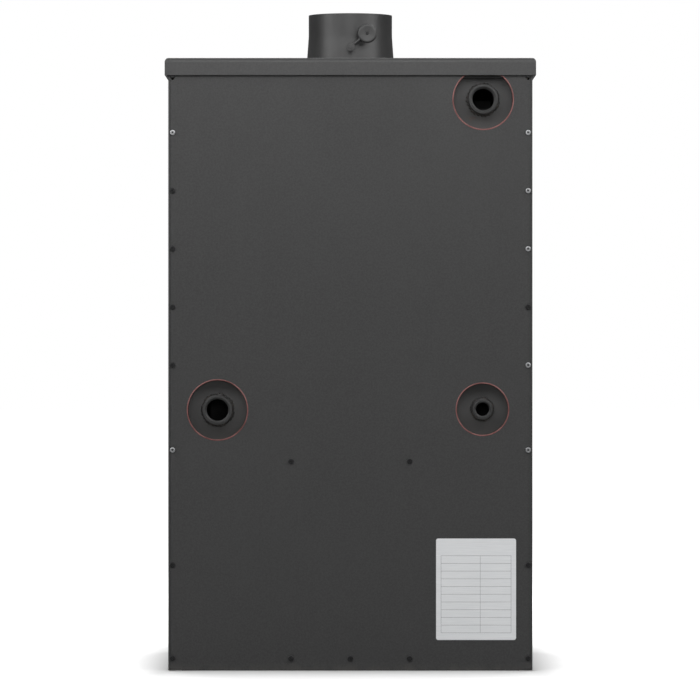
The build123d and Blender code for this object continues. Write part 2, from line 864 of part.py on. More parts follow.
lever_plane = Plane(origin=(0, damper_lever_y, damper_z), x_dir=(0, 1, 0), z_dir=lever_way)
knob_x = lever_way[0] * damper_lever_length
knob_z = damper_z + lever_way[2] * damper_lever_length
with BuildPart() as damper_lever:
    with BuildSketch(lever_plane):
        Circle(damper_lever_radius)
    extrude(amount=damper_lever_length - damper_knob_radius / 2)
    rod(damper_lever_y - damper_hub_half, damper_lever_y + damper_hub_half, [(0, damper_z)],
        damper_hub_radius)
    bore(damper_lever_y - damper_hub_half, damper_lever_y + damper_hub_half, [(0, damper_z)],
         damper_spindle_radius)
save(damper_lever, "damper_lever")

with BuildPart() as damper_knob:
    rod(damper_lever_y - damper_knob_thickness / 2, damper_lever_y + damper_knob_thickness / 2,
        [(knob_x, knob_z)], damper_knob_radius)
    fillet(damper_knob.edges().filter_by(GeomType.CIRCLE), damper_knob_round)
    with BuildSketch(lever_plane):
        Circle(damper_lever_radius)
    extrude(amount=damper_lever_length - damper_knob_radius / 2, mode=Mode.SUBTRACT)
save(damper_knob, "damper_knob")


# Fire door: a cast plate with a deep rim, a rope groove, hinge bores and the handle boss
with BuildPart() as fire_door:
    block(-door_half_width, door_half_width, door_front, door_rear, door_bottom, door_top)
    fillet(
        fire_door.edges().filter_by(Axis.Z).filter_by_position(Axis.Y, door_rear - 1, door_rear + 1)
        .sort_by(Axis.X)[0],
        door_hinge_round,
    )
    fillet(fire_door.faces().sort_by(Axis.Y)[0].edges(), door_front_round)
    with BuildSketch(upright(door_rear)):
        window(door_rim - door_half_width, door_half_width - door_rim,
               door_bottom + door_rim, door_top - door_rim)
    extrude(amount=door_thickness - door_plate, mode=Mode.SUBTRACT)
    with BuildSketch(upright(plate_rear)):
        with Locations((0, (window_bottom + window_top) / 2)):
            RectangleRounded(2 * window_half_width, window_top - window_bottom, window_corner)
    extrude(amount=door_plate, mode=Mode.SUBTRACT)
    rod(plate_rear, door_rear - handle_boss_gap, [(handle_x, handle_z)], handle_boss_radius)
    rod(plate_rear, glass_rear, clip_points, clip_boss_radius)
    bore(door_front, door_rear, [(handle_x, handle_z)], handle_spindle_radius + running_fit)
    bore(glass_rear - clip_screw_depth, glass_rear, clip_points, clip_screw_radius)
    with BuildSketch(upright(door_rear)):
        inset = (door_rim - rope_groove_width) / 2
        with Locations((0, (door_bottom + door_top) / 2)):
            Rectangle(2 * (door_half_width - inset), door_top - door_bottom - 2 * inset)
            Rectangle(2 * (door_half_width - inset - rope_groove_width),
                      door_top - door_bottom - 2 * (inset + rope_groove_width), mode=Mode.SUBTRACT)
    extrude(amount=rope_groove_depth, mode=Mode.SUBTRACT)
    for z0 in (door_bottom, door_top - hinge_pin_depth - hinge_gap):
        with BuildSketch(Plane.XY.offset(z0)):
            with Locations((hinge_x, hinge_y)):
                Circle(hinge_pin_radius + hinge_fit)
        extrude(amount=hinge_pin_depth + hinge_gap, mode=Mode.SUBTRACT)
save(fire_door, "fire_door")

with BuildPart() as door_gasket:
    inset = (door_rim - rope_width) / 2
    with BuildSketch(upright(front_face - rope_gap)):
        with Locations((0, (door_bottom + door_top) / 2)):
            Rectangle(2 * (door_half_width - inset), door_top - door_bottom - 2 * inset)
            Rectangle(2 * (door_half_width - inset - rope_width),
                      door_top - door_bottom - 2 * (inset + rope_width), mode=Mode.SUBTRACT)
    extrude(amount=door_gap + rope_groove_depth - rope_gap)
    fillet(door_gasket.faces().sort_by(Axis.Y)[-1].edges(), rope_round)
save(door_gasket, "door_gasket")

glass_half = window_half_width + glass_overlap
with BuildPart() as glass_gasket:
    with BuildSketch(upright(glass_front)):
        with Locations((0, (window_bottom + window_top) / 2)):
            Rectangle(2 * glass_half, window_top - window_bottom + 2 * glass_overlap)
            Rectangle(2 * (glass_half - glass_gasket_width),
                      window_top - window_bottom + 2 * (glass_overlap - glass_gasket_width),
                      mode=Mode.SUBTRACT)
    extrude(amount=glass_gasket_thickness)
save(glass_gasket, "glass_gasket")

with BuildPart() as door_glass:
    block(-glass_half, glass_half, glass_front, glass_rear, window_bottom - glass_overlap,
          window_top + glass_overlap)
save(door_glass, "door_glass")

with BuildPart() as glass_clips:
    with BuildSketch(upright(glass_rear + clip_sheet)):
        middle = (window_bottom + window_top) / 2
        for x, z in clip_points:
            with Locations((x, z + (clip_reach if z < middle else -clip_reach))):
                Rectangle(clip_width, clip_length)
        with Locations(*clip_points):
            Circle(clip_screw_radius, mode=Mode.SUBTRACT)
    extrude(amount=clip_sheet)
save(glass_clips, "glass_clips")

with BuildPart() as glass_clip_screws:
    rod(glass_rear + clip_sheet, glass_rear + clip_sheet + clip_screw_head_height, clip_points,
        clip_screw_head)
    fillet(glass_clip_screws.edges().group_by(Axis.Y)[-1], clip_screw_round)
    rod(glass_rear - clip_screw_depth, glass_rear + clip_sheet, clip_points, clip_screw_radius)
save(glass_clip_screws, "glass_clip_screws")


# Hinge pins, seated in the frame's lugs and running in the door
with BuildPart() as door_hinge_pins:
    low_lug = door_bottom - hinge_gap - lug_height
    high_lug = door_top + hinge_gap + lug_height
    spans = (
        (low_lug, low_lug + lug_height + hinge_pin_depth, low_lug - hinge_pin_head),
        (high_lug - lug_height - hinge_pin_depth, high_lug, high_lug),
    )
    for z0, z1, head in spans:
        with BuildSketch(Plane.XY.offset(z0)):
            with Locations((hinge_x, hinge_y)):
                Circle(hinge_pin_radius)
        extrude(amount=z1 - z0)
        with BuildSketch(Plane.XY.offset(head)):
            with Locations((hinge_x, hinge_y)):
                Circle(hinge_pin_head_radius)
        extrude(amount=hinge_pin_head)
save(door_hinge_pins, "door_hinge_pins")


# Door handle: spindle, lever, grip, and the latch that hooks behind the frame's pad
latch_front = frame_rear + keeper_thickness + latch_gap
with BuildPart() as door_handle_spindle:
    rod(handle_y, latch_front + latch_thickness + spindle_end, [(handle_x, handle_z)],
        handle_spindle_radius)
save(door_handle_spindle, "door_handle_spindle")

with BuildPart() as door_handle_lever:
    hub_rear = door_front - handle_hub_gap
    rod(handle_y - handle_arm_radius, hub_rear, [(handle_x, handle_z)], handle_hub_radius)
    fillet(door_handle_lever.edges().group_by(Axis.Y)[0], handle_hub_round)
    with BuildSketch(Plane.XY.offset(handle_z - grip_start)):
        with Locations((handle_x, handle_y)):
            Circle(handle_arm_radius)
    extrude(amount=grip_start)
    with BuildSketch(Plane.XY.offset(handle_z - handle_length)):
        with Locations((handle_x, handle_y)):
            Circle(handle_tang_radius)
    extrude(amount=handle_length - grip_start)
    bore(handle_y, hub_rear, [(handle_x, handle_z)], handle_spindle_radius)
save(door_handle_lever, "door_handle_lever")

with BuildPart() as door_handle_grip:
    top = handle_z - grip_start
    bottom = handle_z - handle_length
    middle = (top + bottom) / 2
    with BuildSketch(Plane.XZ.offset(-handle_y)):
        with BuildLine():
            ThreePointArc((handle_x + grip_end_radius, top), (handle_x + grip_radius, middle),
                          (handle_x + grip_end_radius, bottom))
            Polyline(
                (handle_x + grip_end_radius, bottom),
                (handle_x + handle_tang_radius, bottom),
                (handle_x + handle_tang_radius, top),
                (handle_x + grip_end_radius, top),
            )
        make_face()
    revolve(axis=Axis((handle_x, handle_y, 0), (0, 0, 1)))
save(door_handle_grip, "door_handle_grip")

with BuildPart() as door_latch:
    with BuildSketch(upright(latch_front + latch_thickness)):
        with Locations((handle_x, handle_z)):
            Circle(latch_hub_radius)
        with Locations((handle_x, handle_z - latch_length / 2)):
            Rectangle(latch_width, latch_length)
        with Locations((handle_x, handle_z)):
            Circle(handle_spindle_radius, mode=Mode.SUBTRACT)
    extrude(amount=latch_thickness)
save(door_latch, "door_latch")


# Ash drawer: front, pan, handle and runners
rosette_points = [(-rosette_x, drawer_z), (rosette_x, drawer_z)]
handle_posts = [(-drawer_handle_post, drawer_z), (drawer_handle_post, drawer_z)]
with BuildPart() as ash_drawer_front:
    block(-drawer_half_width, drawer_half_width, drawer_front, drawer_rear, drawer_bottom, drawer_top)
    fillet(ash_drawer_front.faces().sort_by(Axis.Y)[0].edges(), drawer_front_round)
    with BuildSketch(upright(drawer_rear)):
        for point in rosette_points:
            with Locations(point):
                Circle(pivot_radius)
                with PolarLocations(rosette_hole_circle, rosette_hole_count):
                    Circle(rosette_hole_radius)
        with Locations(*handle_posts):
            Circle(drawer_stud_radius)
    extrude(amount=drawer_front_thickness, mode=Mode.SUBTRACT)
save(ash_drawer_front, "ash_drawer_front")

with BuildPart() as ash_pan:
    pan_front = drawer_rear + pan_front_offset
    block(-pan_half_width, pan_half_width, pan_front, pan_rear, pan_bottom, pan_bottom + pan_height)
    block(pan_sheet - pan_half_width, pan_half_width - pan_sheet, pan_front + pan_sheet,
          pan_rear - pan_sheet, pan_bottom + pan_sheet, pan_bottom + pan_height, mode=Mode.SUBTRACT)
    block(-pan_half_width, pan_half_width, drawer_rear, pan_front, pan_bottom, pan_bottom + pan_sheet)
    block(-pan_tab_half_width, pan_tab_half_width, drawer_rear, drawer_rear + pan_sheet, pan_bottom,
          pan_bottom + pan_tab_height)
    bore(drawer_rear, drawer_rear + pan_sheet, handle_posts, drawer_stud_radius)
save(ash_pan, "ash_pan")

with BuildPart() as ash_drawer_handle:
    bar_y = drawer_front - drawer_handle_reach
    rod(bar_y, drawer_front, handle_posts, drawer_post_radius)
    with BuildSketch(Plane.YZ.offset(-drawer_handle_half)):
        with Locations((bar_y, drawer_z)):
            Circle(drawer_handle_radius)
    extrude(amount=2 * drawer_handle_half)
    rod(drawer_front, drawer_rear + 2 * pan_sheet, handle_posts, drawer_stud_radius)
save(ash_drawer_handle, "ash_drawer_handle")

with BuildPart() as ash_drawer_runners:
    for side in (-1, 1):
        block(side * runner_x - runner_width / 2, side * runner_x + runner_width / 2, frame_rear,
              firebox_inner_rear, shelf_top, shelf_top + runner_height)
save(ash_drawer_runners, "ash_drawer_runners")


# Air rosettes, closed at rest: their holes stand between the holes of the drawer front
rosette_rear = drawer_front - rosette_gap
rosette_face = rosette_rear - rosette_thickness
rosette_knob_face = rosette_face - rosette_knob_height


def make_rosette(point):
    """A turning air disc with a raised knob."""
    with BuildPart() as rosette:
        with BuildSketch(upright(rosette_rear)):
            with Locations(point):
                Circle(rosette_radius)
                with PolarLocations(rosette_hole_circle, rosette_hole_count, start_angle=rosette_turn):
                    Circle(rosette_hole_radius, mode=Mode.SUBTRACT)
        extrude(amount=rosette_thickness)
        rod(rosette_knob_face, rosette_face, [point], rosette_knob_radius)
        bore(rosette_knob_face, rosette_rear, [point], pivot_radius + running_fit)
    return rosette


save(make_rosette(rosette_points[0]), "left_air_rosette")
save(make_rosette(rosette_points[1]), "right_air_rosette")

with BuildPart() as rosette_pivots:
    head_rear = rosette_knob_face - rosette_gap
    rod(head_rear - pivot_head_height, head_rear, rosette_points, pivot_head_radius)
    fillet(rosette_pivots.edges().group_by(Axis.Y)[0], pivot_head_round)
    rod(head_rear, drawer_rear, rosette_points, pivot_radius)
save(rosette_pivots, "rosette_pivots")


# Secondary air slider over slots above the door, with its rails
slider_rear = front_face - slide_gap
slider_front = slider_rear - slider_thickness
slider_x = -slider_travel / 2
with BuildPart() as secondary_air_slider:
    with BuildSketch(upright(slider_rear)):
        with Locations((slider_x, slider_z)):
            Rectangle(2 * slider_half_length, 2 * slider_half_height)
        with Locations((-slider_travel, slider_z)):
            with GridLocations(slider_slot_pitch, 0, slider_slot_count, 1):
                Rectangle(slider_slot_width, slider_slot_height, mode=Mode.SUBTRACT)
    extrude(amount=slider_thickness)
    knob_point = [(slider_x + slider_travel / 2, slider_z)]
    rod(slider_front - slider_stem, slider_front, knob_point, slider_stem_radius)
    rod(slider_front - slider_stem - slider_knob_length, slider_front - slider_stem, knob_point,
        slider_knob_radius)
save(secondary_air_slider, "secondary_air_slider")

with BuildPart() as secondary_air_rails:
    lip_rear = slider_front - slide_gap
    lip_front = lip_rear - rail_lip_thickness
    for side in (-1, 1):
        edge = slider_z + side * (slider_half_height + slide_gap)
        back = edge + side * rail_height
        lip = edge - side * rail_lip
        block(-rail_half_length, rail_half_length, lip_front, front_face, min(edge, back), max(edge, back))
        block(-rail_half_length, rail_half_length, lip_front, lip_rear, min(edge, lip), max(edge, lip))
save(secondary_air_rails, "secondary_air_rails")


# Hearth plate with the guides of the riddling grate, the fixed grate over it
guide_inner = hearth_opening_half_width + riddling_lip
guide_outer = guide_inner + riddling_wall
lip_top = riddling_bottom - slide_gap
with BuildPart() as hearth_plate:
    half = firebox_inner_half - hearth_fit
    block(-half, half, frame_rear + hearth_fit, firebox_inner_rear - hearth_fit, hearth_bottom, hearth_top)
    block(-hearth_opening_half_width, hearth_opening_half_width, hearth_opening_front,
          hearth_opening_rear, hearth_bottom, hearth_top, mode=Mode.SUBTRACT)
    for side in (-1, 1):
        x0, x1 = sorted((side * guide_inner, side * guide_outer))
        block(x0, x1, hearth_opening_front, hearth_opening_rear, lip_top - riddling_lip_thickness,
              hearth_bottom)
        x0, x1 = sorted((side * hearth_opening_half_width, side * guide_outer))
        block(x0, x1, hearth_opening_front, hearth_opening_rear, lip_top - riddling_lip_thickness,
              lip_top)
save(hearth_plate, "hearth_plate")

with BuildPart() as grate_bed:
    block(-hearth_opening_half_width - grate_border, hearth_opening_half_width + grate_border,
          hearth_opening_front - grate_border, hearth_opening_rear + grate_border, hearth_top,
          hearth_top + grate_thickness)
    with BuildSketch(Plane.XY.offset(hearth_top)):
        with Locations((0, (hearth_opening_front + hearth_opening_rear) / 2)):
            with GridLocations(grate_slot_pitch, grate_slot_length + grate_border, grate_slots, 2):
                SlotOverall(grate_slot_length, grate_slot_width, rotation=90)
    extrude(amount=grate_thickness, mode=Mode.SUBTRACT)
save(grate_bed, "grate_bed")

with BuildPart() as riddling_grate:
    block(-riddling_half_width, riddling_half_width, riddling_front, riddling_rear, riddling_bottom,
          riddling_top)
    with BuildSketch(Plane.XY.offset(riddling_bottom)):
        with Locations((0, (riddling_front + riddling_rear) / 2)):
            with GridLocations(grate_slot_pitch, 0, grate_slots, 1):
                SlotOverall(riddling_rear - riddling_front - 2 * grate_border, grate_slot_width, rotation=90)
    extrude(amount=riddling_thickness, mode=Mode.SUBTRACT)
    block(riddling_rod_x - riddling_boss / 2, riddling_rod_x + riddling_boss / 2,
          riddling_front - riddling_boss_length, riddling_front,
          riddling_rod_z - riddling_boss_height / 2, riddling_rod_z + riddling_boss_height / 2)
    bore(riddling_front - riddling_boss_length, riddling_front - riddling_boss_length + riddling_bore_depth,
         [(riddling_rod_x, riddling_rod_z)], riddling_rod_radius)
save(riddling_grate, "riddling_grate")

with BuildPart() as riddling_rod:
    knob_rear = front_face - riddling_rod_reach
    rod(knob_rear, riddling_front - riddling_boss_length + riddling_bore_depth,
        [(riddling_rod_x, riddling_rod_z)], riddling_rod_radius)
    rod(knob_rear - riddling_knob_length, knob_rear, [(riddling_rod_x, riddling_rod_z)],
        riddling_knob_radius)
    fillet(riddling_rod.edges().group_by(Axis.Y)[0], riddling_knob_round)
save(riddling_rod, "riddling_rod")


# Firebricks, log guard and smoke baffle
with BuildPart() as firebricks:
    outer = firebox_inner_half - hearth_fit
    rear = firebox_inner_rear - hearth_fit
    brick_top = hearth_top + brick_height
    for side in (-1, 1):
        x0, x1 = sorted((side * outer, side * (outer - brick_thickness)))
        block(x0, x1, brick_front, rear - brick_thickness - hearth_fit, hearth_top, brick_top)
    block(-outer, outer, rear - brick_thickness, rear, hearth_top, brick_top)
    inner_edges = (
        firebricks.edges().filter_by(Axis.Y).group_by(Axis.Z)[-1]
        .filter_by_position(Axis.X, brick_thickness - outer - 1, outer - brick_thickness + 1)
    )
    chamfer(inner_edges, brick_chamfer)
save(firebricks, "firebricks")

with BuildPart() as log_guard:
    block(-guard_half_width, guard_half_width, guard_front, guard_front + guard_thickness, hearth_top,
          hearth_top + guard_height)
    with BuildSketch(upright(guard_front + guard_thickness)):
        with Locations((0, hearth_top + guard_height / 2)):
            with GridLocations(guard_slot_pitch, 0, guard_slots, 1):
                SlotOverall(guard_slot_height, guard_slot_width, rotation=90)
    extrude(amount=guard_thickness, mode=Mode.SUBTRACT)
save(log_guard, "log_guard")

with BuildPart() as smoke_baffle:
    half = firebox_inner_half - hearth_fit
    block(-half, half, baffle_front, firebox_inner_rear - hearth_fit, baffle_bottom,
          baffle_bottom + baffle_thickness)
save(smoke_baffle, "smoke_baffle")


# Thermometer with its pocket in the water space
gauge_front = front_face - gauge_depth
dial_rear = front_face - gauge_floor
dial_front = dial_rear - dial_thickness
needle_rear = dial_front - needle_gap
needle_front = needle_rear - needle_thickness
gauge_point = [(gauge_x, gauge_z)]
with BuildPart() as thermometer_case:
    rod(gauge_front, front_face, gauge_point, gauge_radius)
    rod(front_face, frame_rear, gauge_point, gauge_body_radius)
    rod(frame_rear, frame_rear + pocket_length, gauge_point, pocket_radius)
    bore(gauge_front, dial_rear, gauge_point, gauge_recess_radius)
    fillet(thermometer_case.edges().group_by(Axis.Y)[0].sort_by(SortBy.LENGTH)[-1], gauge_rim_round)
save(thermometer_case, "thermometer_case")

with BuildPart() as thermometer_dial:
    rod(dial_front, dial_rear, gauge_point, dial_radius)
    rod(needle_front - needle_gap, dial_front, gauge_point, needle_pivot_radius)
save(thermometer_dial, "thermometer_dial")

with BuildPart() as thermometer_needle:
    with BuildSketch(upright(needle_rear)):
        with Locations((gauge_x, gauge_z)):
            Circle(needle_hub_radius)
        with Locations((gauge_x + cos(radians(needle_start)) * needle_length / 2,
                        gauge_z + sin(radians(needle_start)) * needle_length / 2)):
            Rectangle(needle_length, needle_width, rotation=needle_start)
        with Locations((gauge_x, gauge_z)):
            Circle(needle_pivot_radius + running_fit, mode=Mode.SUBTRACT)
    extrude(amount=needle_thickness)
save(thermometer_needle, "thermometer_needle")

with BuildPart() as thermometer_glass:
    glass_face = gauge_front + gauge_glass_inset
    rod(glass_face, glass_face + gauge_glass_thickness, gauge_point, gauge_recess_radius)
save(thermometer_glass, "thermometer_glass")
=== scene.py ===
import json
from math import cos, pi, radians, sin

import bmesh
import bpy
from mathutils import Matrix, Vector

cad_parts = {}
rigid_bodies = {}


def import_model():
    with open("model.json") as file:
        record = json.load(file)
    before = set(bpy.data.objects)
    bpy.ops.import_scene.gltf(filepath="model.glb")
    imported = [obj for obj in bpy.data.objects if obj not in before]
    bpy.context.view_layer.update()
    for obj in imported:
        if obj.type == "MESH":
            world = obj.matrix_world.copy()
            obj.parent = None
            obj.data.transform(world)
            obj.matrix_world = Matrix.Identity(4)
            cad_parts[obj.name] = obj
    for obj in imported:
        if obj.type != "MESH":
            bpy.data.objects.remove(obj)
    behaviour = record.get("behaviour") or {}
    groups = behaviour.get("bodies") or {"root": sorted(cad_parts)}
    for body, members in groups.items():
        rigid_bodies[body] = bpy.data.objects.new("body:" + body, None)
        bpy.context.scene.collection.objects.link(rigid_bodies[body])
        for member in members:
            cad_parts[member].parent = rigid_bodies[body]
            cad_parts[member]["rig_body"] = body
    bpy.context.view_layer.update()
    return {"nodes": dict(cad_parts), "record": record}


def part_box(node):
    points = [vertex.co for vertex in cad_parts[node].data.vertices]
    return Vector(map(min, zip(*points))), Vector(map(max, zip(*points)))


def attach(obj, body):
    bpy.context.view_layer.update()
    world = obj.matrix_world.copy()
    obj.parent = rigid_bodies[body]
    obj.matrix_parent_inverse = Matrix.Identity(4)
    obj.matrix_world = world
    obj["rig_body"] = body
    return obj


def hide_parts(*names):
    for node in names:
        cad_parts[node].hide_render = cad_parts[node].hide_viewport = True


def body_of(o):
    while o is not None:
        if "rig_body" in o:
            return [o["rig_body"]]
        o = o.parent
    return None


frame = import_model()

# Boiler stove, seen from behind in the main picture. Lengths are millimetres times MM.
MM = 0.001
SHARP = radians(35)
FULL_TURN = 2 * pi

# Bore of the flue, width of a firebrick with its joint, and the room round one screw
FLUE_WAY_RADIUS = 55.7
BRICK_PITCH = 91.5
SCREW_SPAN = 12.0
FAR_AWAY = 1.0

# Which material slot each node of the model has
SLOT_OF = {part["node"]: part["material_slot"] for part in frame["record"]["subparts"]}


# Measures taken from the model, in millimetres
def corners(node):
    """Lowest and highest corner of a node, in millimetres."""
    low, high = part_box(node)
    return low / MM, high / MM


def middle(node):
    """The middle of a node's box, in millimetres."""
    low, high = corners(node)
    return (low + high) / 2


back_face = corners("back_panel")[1].y
lid_low, lid_high = corners("top_lid")
collar_middle = middle("flue_collar")
boiler_rear = corners("boiler_outer_shell")[1].y
door_low, door_high = corners("fire_door")
glass_low, glass_high = corners("door_glass")
drawer_low, drawer_high = corners("ash_drawer_front")
plate_low, plate_high = corners("data_plate")
dial_front = corners("thermometer_dial")[0].y
dial_middle = middle("thermometer_dial")
foot_low = corners("left_side_panel")[0]
foot_high = corners("right_side_panel")[1]


# Material recipes
def tone(red, green=None, blue=None):
    """A colour from eight-bit screen values, as the linear colour that shaders take."""
    values = (red, red if green is None else green, red if blue is None else blue)
    linear = [((v / 255 + 0.055) / 1.055) ** 2.4 if v > 10 else v / 255 / 12.92 for v in values]
    return (*linear, 1.0)


def calculate(tree, kind, first, second):
    """Arithmetic on two values in a node tree."""
    node = tree.nodes.new("ShaderNodeMath")
    node.operation = kind
    for socket, value in zip(node.inputs, (first, second)):
        if isinstance(value, bpy.types.NodeSocket):
            tree.links.new(value, socket)
        else:
            socket.default_value = value
    return node.outputs["Value"]


class Recipe:
    """One material's node tree, built a step at a time."""

    def __init__(self, name, colour, roughness, metallic=0.0):
        self.material = bpy.data.materials.new(name)
        self.material.use_nodes = True
        self.tree = self.material.node_tree
        self.shader = self.tree.nodes["Principled BSDF"]
        self.coords = self.tree.nodes.new("ShaderNodeTexCoord").outputs["Object"]
        self.shader.inputs["Base Color"].default_value = colour
        self.shader.inputs["Roughness"].default_value = roughness
        self.shader.inputs["Metallic"].default_value = metallic
        self.height = None

    def put(self, socket, value):
        """Gives a socket a constant, or the output of another node."""
        if isinstance(value, bpy.types.NodeSocket):
            self.tree.links.new(value, socket)
        else:
            socket.default_value = value

    def stretched(self, x, y, z):
        """The object's coordinates, scaled differently along each axis."""
        node = self.tree.nodes.new("ShaderNodeMapping")
        self.put(node.inputs["Vector"], self.coords)
        node.inputs["Scale"].default_value = (x, y, z)
        return node.outputs["Vector"]

    def noise(self, scale, detail=3.0, rough=0.5, vector=None, distortion=0.0):
        """Cloudy noise; scale is in grains per metre."""
        node = self.tree.nodes.new("ShaderNodeTexNoise")
        self.put(node.inputs["Vector"], vector or self.coords)
        node.inputs["Scale"].default_value = scale
        node.inputs["Detail"].default_value = detail
        node.inputs["Roughness"].default_value = rough
        node.inputs["Distortion"].default_value = distortion
        return node.outputs["Fac"]

    def cells(self, scale, vector=None, wanted="Distance"):
        """Cells, for spangle, flecks and fibres."""
        node = self.tree.nodes.new("ShaderNodeTexVoronoi")
        self.put(node.inputs["Vector"], vector or self.coords)
        node.inputs["Scale"].default_value = scale
        return node.outputs[wanted]

    def bands(self, scale, direction, distortion=0.0, vector=None):
        """Regular bands along one axis."""
        node = self.tree.nodes.new("ShaderNodeTexWave")
        node.bands_direction = direction
        self.put(node.inputs["Vector"], vector or self.coords)
        node.inputs["Scale"].default_value = scale
        node.inputs["Distortion"].default_value = distortion
        return node.outputs["Fac"]

    def mapped(self, value, low, high, to_low=0.0, to_high=1.0):
        """Maps low..high of a value to another range, clamped."""
        node = self.tree.nodes.new("ShaderNodeMapRange")
        self.put(node.inputs["Value"], value)
        node.inputs["From Min"].default_value = low
        node.inputs["From Max"].default_value = high
        node.inputs["To Min"].default_value = to_low
        node.inputs["To Max"].default_value = to_high
        return node.outputs["Result"]

    def arithmetic(self, kind, first, second):
        """Arithmetic on two values, such as ADD or MULTIPLY."""
        return calculate(self.tree, kind, first, second)

    def axis(self, letter):
        """One of the object's coordinates, in metres."""
        node = self.tree.nodes.new("ShaderNodeSeparateXYZ")
        self.put(node.inputs["Vector"], self.coords)
        return node.outputs[letter]

    def near(self, x=None, y=None, z=None):
        """Distance in metres from a line through the given coordinates."""
        total = 0.0
        for letter, value in (("X", x), ("Y", y), ("Z", z)):
            if value is not None:
                offset = self.arithmetic("SUBTRACT", self.axis(letter), value)
                total = self.arithmetic("ADD", self.arithmetic("MULTIPLY", offset, offset), total)
        return self.arithmetic("SQRT", total, 0.0)

    def blend(self, factor, first, second):
        """Mixes two colours."""
        node = self.tree.nodes.new("ShaderNodeMix")
        node.data_type = "RGBA"
        self.put(node.inputs[0], factor)
        self.put(node.inputs[6], first)
        self.put(node.inputs[7], second)
        return node.outputs[2]

    def colour(self, value):
        """Gives the shader its base colour."""
        self.put(self.shader.inputs["Base Color"], value)

    def roughness(self, value):
        """Gives the shader its roughness."""
        self.put(self.shader.inputs["Roughness"], value)

    def bump(self, value, depth, strength=1.0):
        """Adds relief; depth is in millimetres. Each call lies over the ones before it."""
        node = self.tree.nodes.new("ShaderNodeBump")
        node.inputs["Strength"].default_value = strength
        node.inputs["Distance"].default_value = depth * MM
        self.put(node.inputs["Height"], value)
        if self.height is not None:
            self.put(node.inputs["Normal"], self.height)
        self.height = node.outputs["Normal"]
        self.put(self.shader.inputs["Normal"], self.height)

    def set(self, name, value):
        """Sets one of the shader's other inputs to a constant."""
        self.shader.inputs[name].default_value = value


def stove_paint(name, dark, light, fleck, rough_low, rough_high, grain=900.0, depth=0.05):
    """Baked stove paint on sheet steel: fine grain, soft clouds, a few rubbed places, dust low down."""
    r = Recipe(name, light, rough_high)
    clouds = r.noise(5.0, 5.0, 0.6)
    smears = r.noise(2.2, 4.0, 0.65, r.stretched(6.0, 6.0, 1.6), 0.6)
    paint = r.blend(r.mapped(clouds, 0.3, 0.7), dark, light)
    speckle = r.mapped(r.noise(420.0, 2.0, 0.6), 0.36, 0.64, 0.0, 0.5)
    paint = r.blend(speckle, paint, fleck)
    dust = r.mapped(r.axis("Z"), 0.012, 0.0, 0.0, 0.25)
    dusty = r.arithmetic("MULTIPLY", dust, r.mapped(r.noise(60.0, 4.0), 0.35, 0.7))
    r.colour(r.blend(dusty, paint, tone(96, 92, 86)))
    r.roughness(r.mapped(smears, 0.3, 0.7, rough_low, rough_high))
    r.bump(r.noise(grain, 2.0), depth)
    r.bump(r.noise(14.0, 2.0), 0.25, 0.25)
    return r


def cabinet_steel():
    return stove_paint("cabinet_steel", tone(36), tone(40), tone(54), 0.5, 0.62)


def lid_enamel():
    return stove_paint("lid_enamel", tone(45), tone(49), tone(62), 0.42, 0.54, 700.0, 0.04)


def collar_enamel():
    """Satin paint outside, soot inside the flue way, and painted shade mixed with grime at the foot
    where the collar meets the lid.
    """
    r = Recipe("collar_enamel", tone(66), 0.42)
    paint = r.blend(r.mapped(r.noise(30.0, 4.0), 0.35, 0.7), tone(44), tone(51))
    way = r.near(x=collar_middle.x * MM, y=collar_middle.y * MM)
    soot = r.mapped(way, (FLUE_WAY_RADIUS + 0.5) * MM, (FLUE_WAY_RADIUS - 0.5) * MM)
    # Darker in the last 6 mm above the lid, broken up by noise: painted shade at the joint, mixed with
    # grime
    low = r.mapped(r.axis("Z"), (lid_high.z + 6) * MM, lid_high.z * MM, 0.0, 0.4)
    foot_shade_and_grime = r.arithmetic("MULTIPLY", low, r.mapped(r.noise(140.0, 3.0), 0.4, 0.6))
    r.colour(r.blend(soot, r.blend(foot_shade_and_grime, paint, tone(30, 29, 28)), tone(14, 13, 12)))
    r.roughness(r.mapped(soot, 0.0, 1.0, 0.4, 0.95))
    r.bump(r.noise(800.0, 2.0), 0.05)
    r.bump(r.noise(120.0, 3.0), 0.2, 0.2)
    return r


def socket_paint():
    """Black paint on the turned sockets and their welds, thin and chipped at the threads."""
    r = Recipe("socket_paint", tone(34), 0.55)
    paint = r.blend(r.mapped(r.noise(40.0, 5.0), 0.3, 0.7), tone(27), tone(35))
    chipped = r.mapped(r.noise(190.0, 6.0, 0.7), 0.66, 0.76, 0.0, 0.6)
    r.colour(r.blend(chipped, paint, tone(70, 60, 52)))
    r.roughness(r.mapped(r.noise(60.0, 4.0), 0.3, 0.7, 0.46, 0.62))
    r.bump(r.noise(600.0, 3.0), 0.08)
    return r


def cast_iron():
    """Painted sand-cast iron: pebbly skin, slightly uneven faces, worn a little grey."""
    r = Recipe("cast_iron", tone(48), 0.6)
    skin = r.noise(420.0, 4.0, 0.6)
    worn = r.mapped(r.noise(38.0, 6.0, 0.7), 0.6, 0.78, 0.0, 0.35)
    paint = r.blend(r.mapped(r.noise(9.0, 4.0), 0.3, 0.7), tone(43, 43, 45), tone(54, 54, 56))
    r.colour(r.blend(worn, paint, tone(78, 76, 74)))
    r.roughness(r.mapped(r.noise(22.0, 4.0), 0.3, 0.7, 0.5, 0.68))
    r.bump(skin, 0.25, 0.8)
    r.bump(r.noise(60.0, 2.0), 0.5, 0.35)
    return r


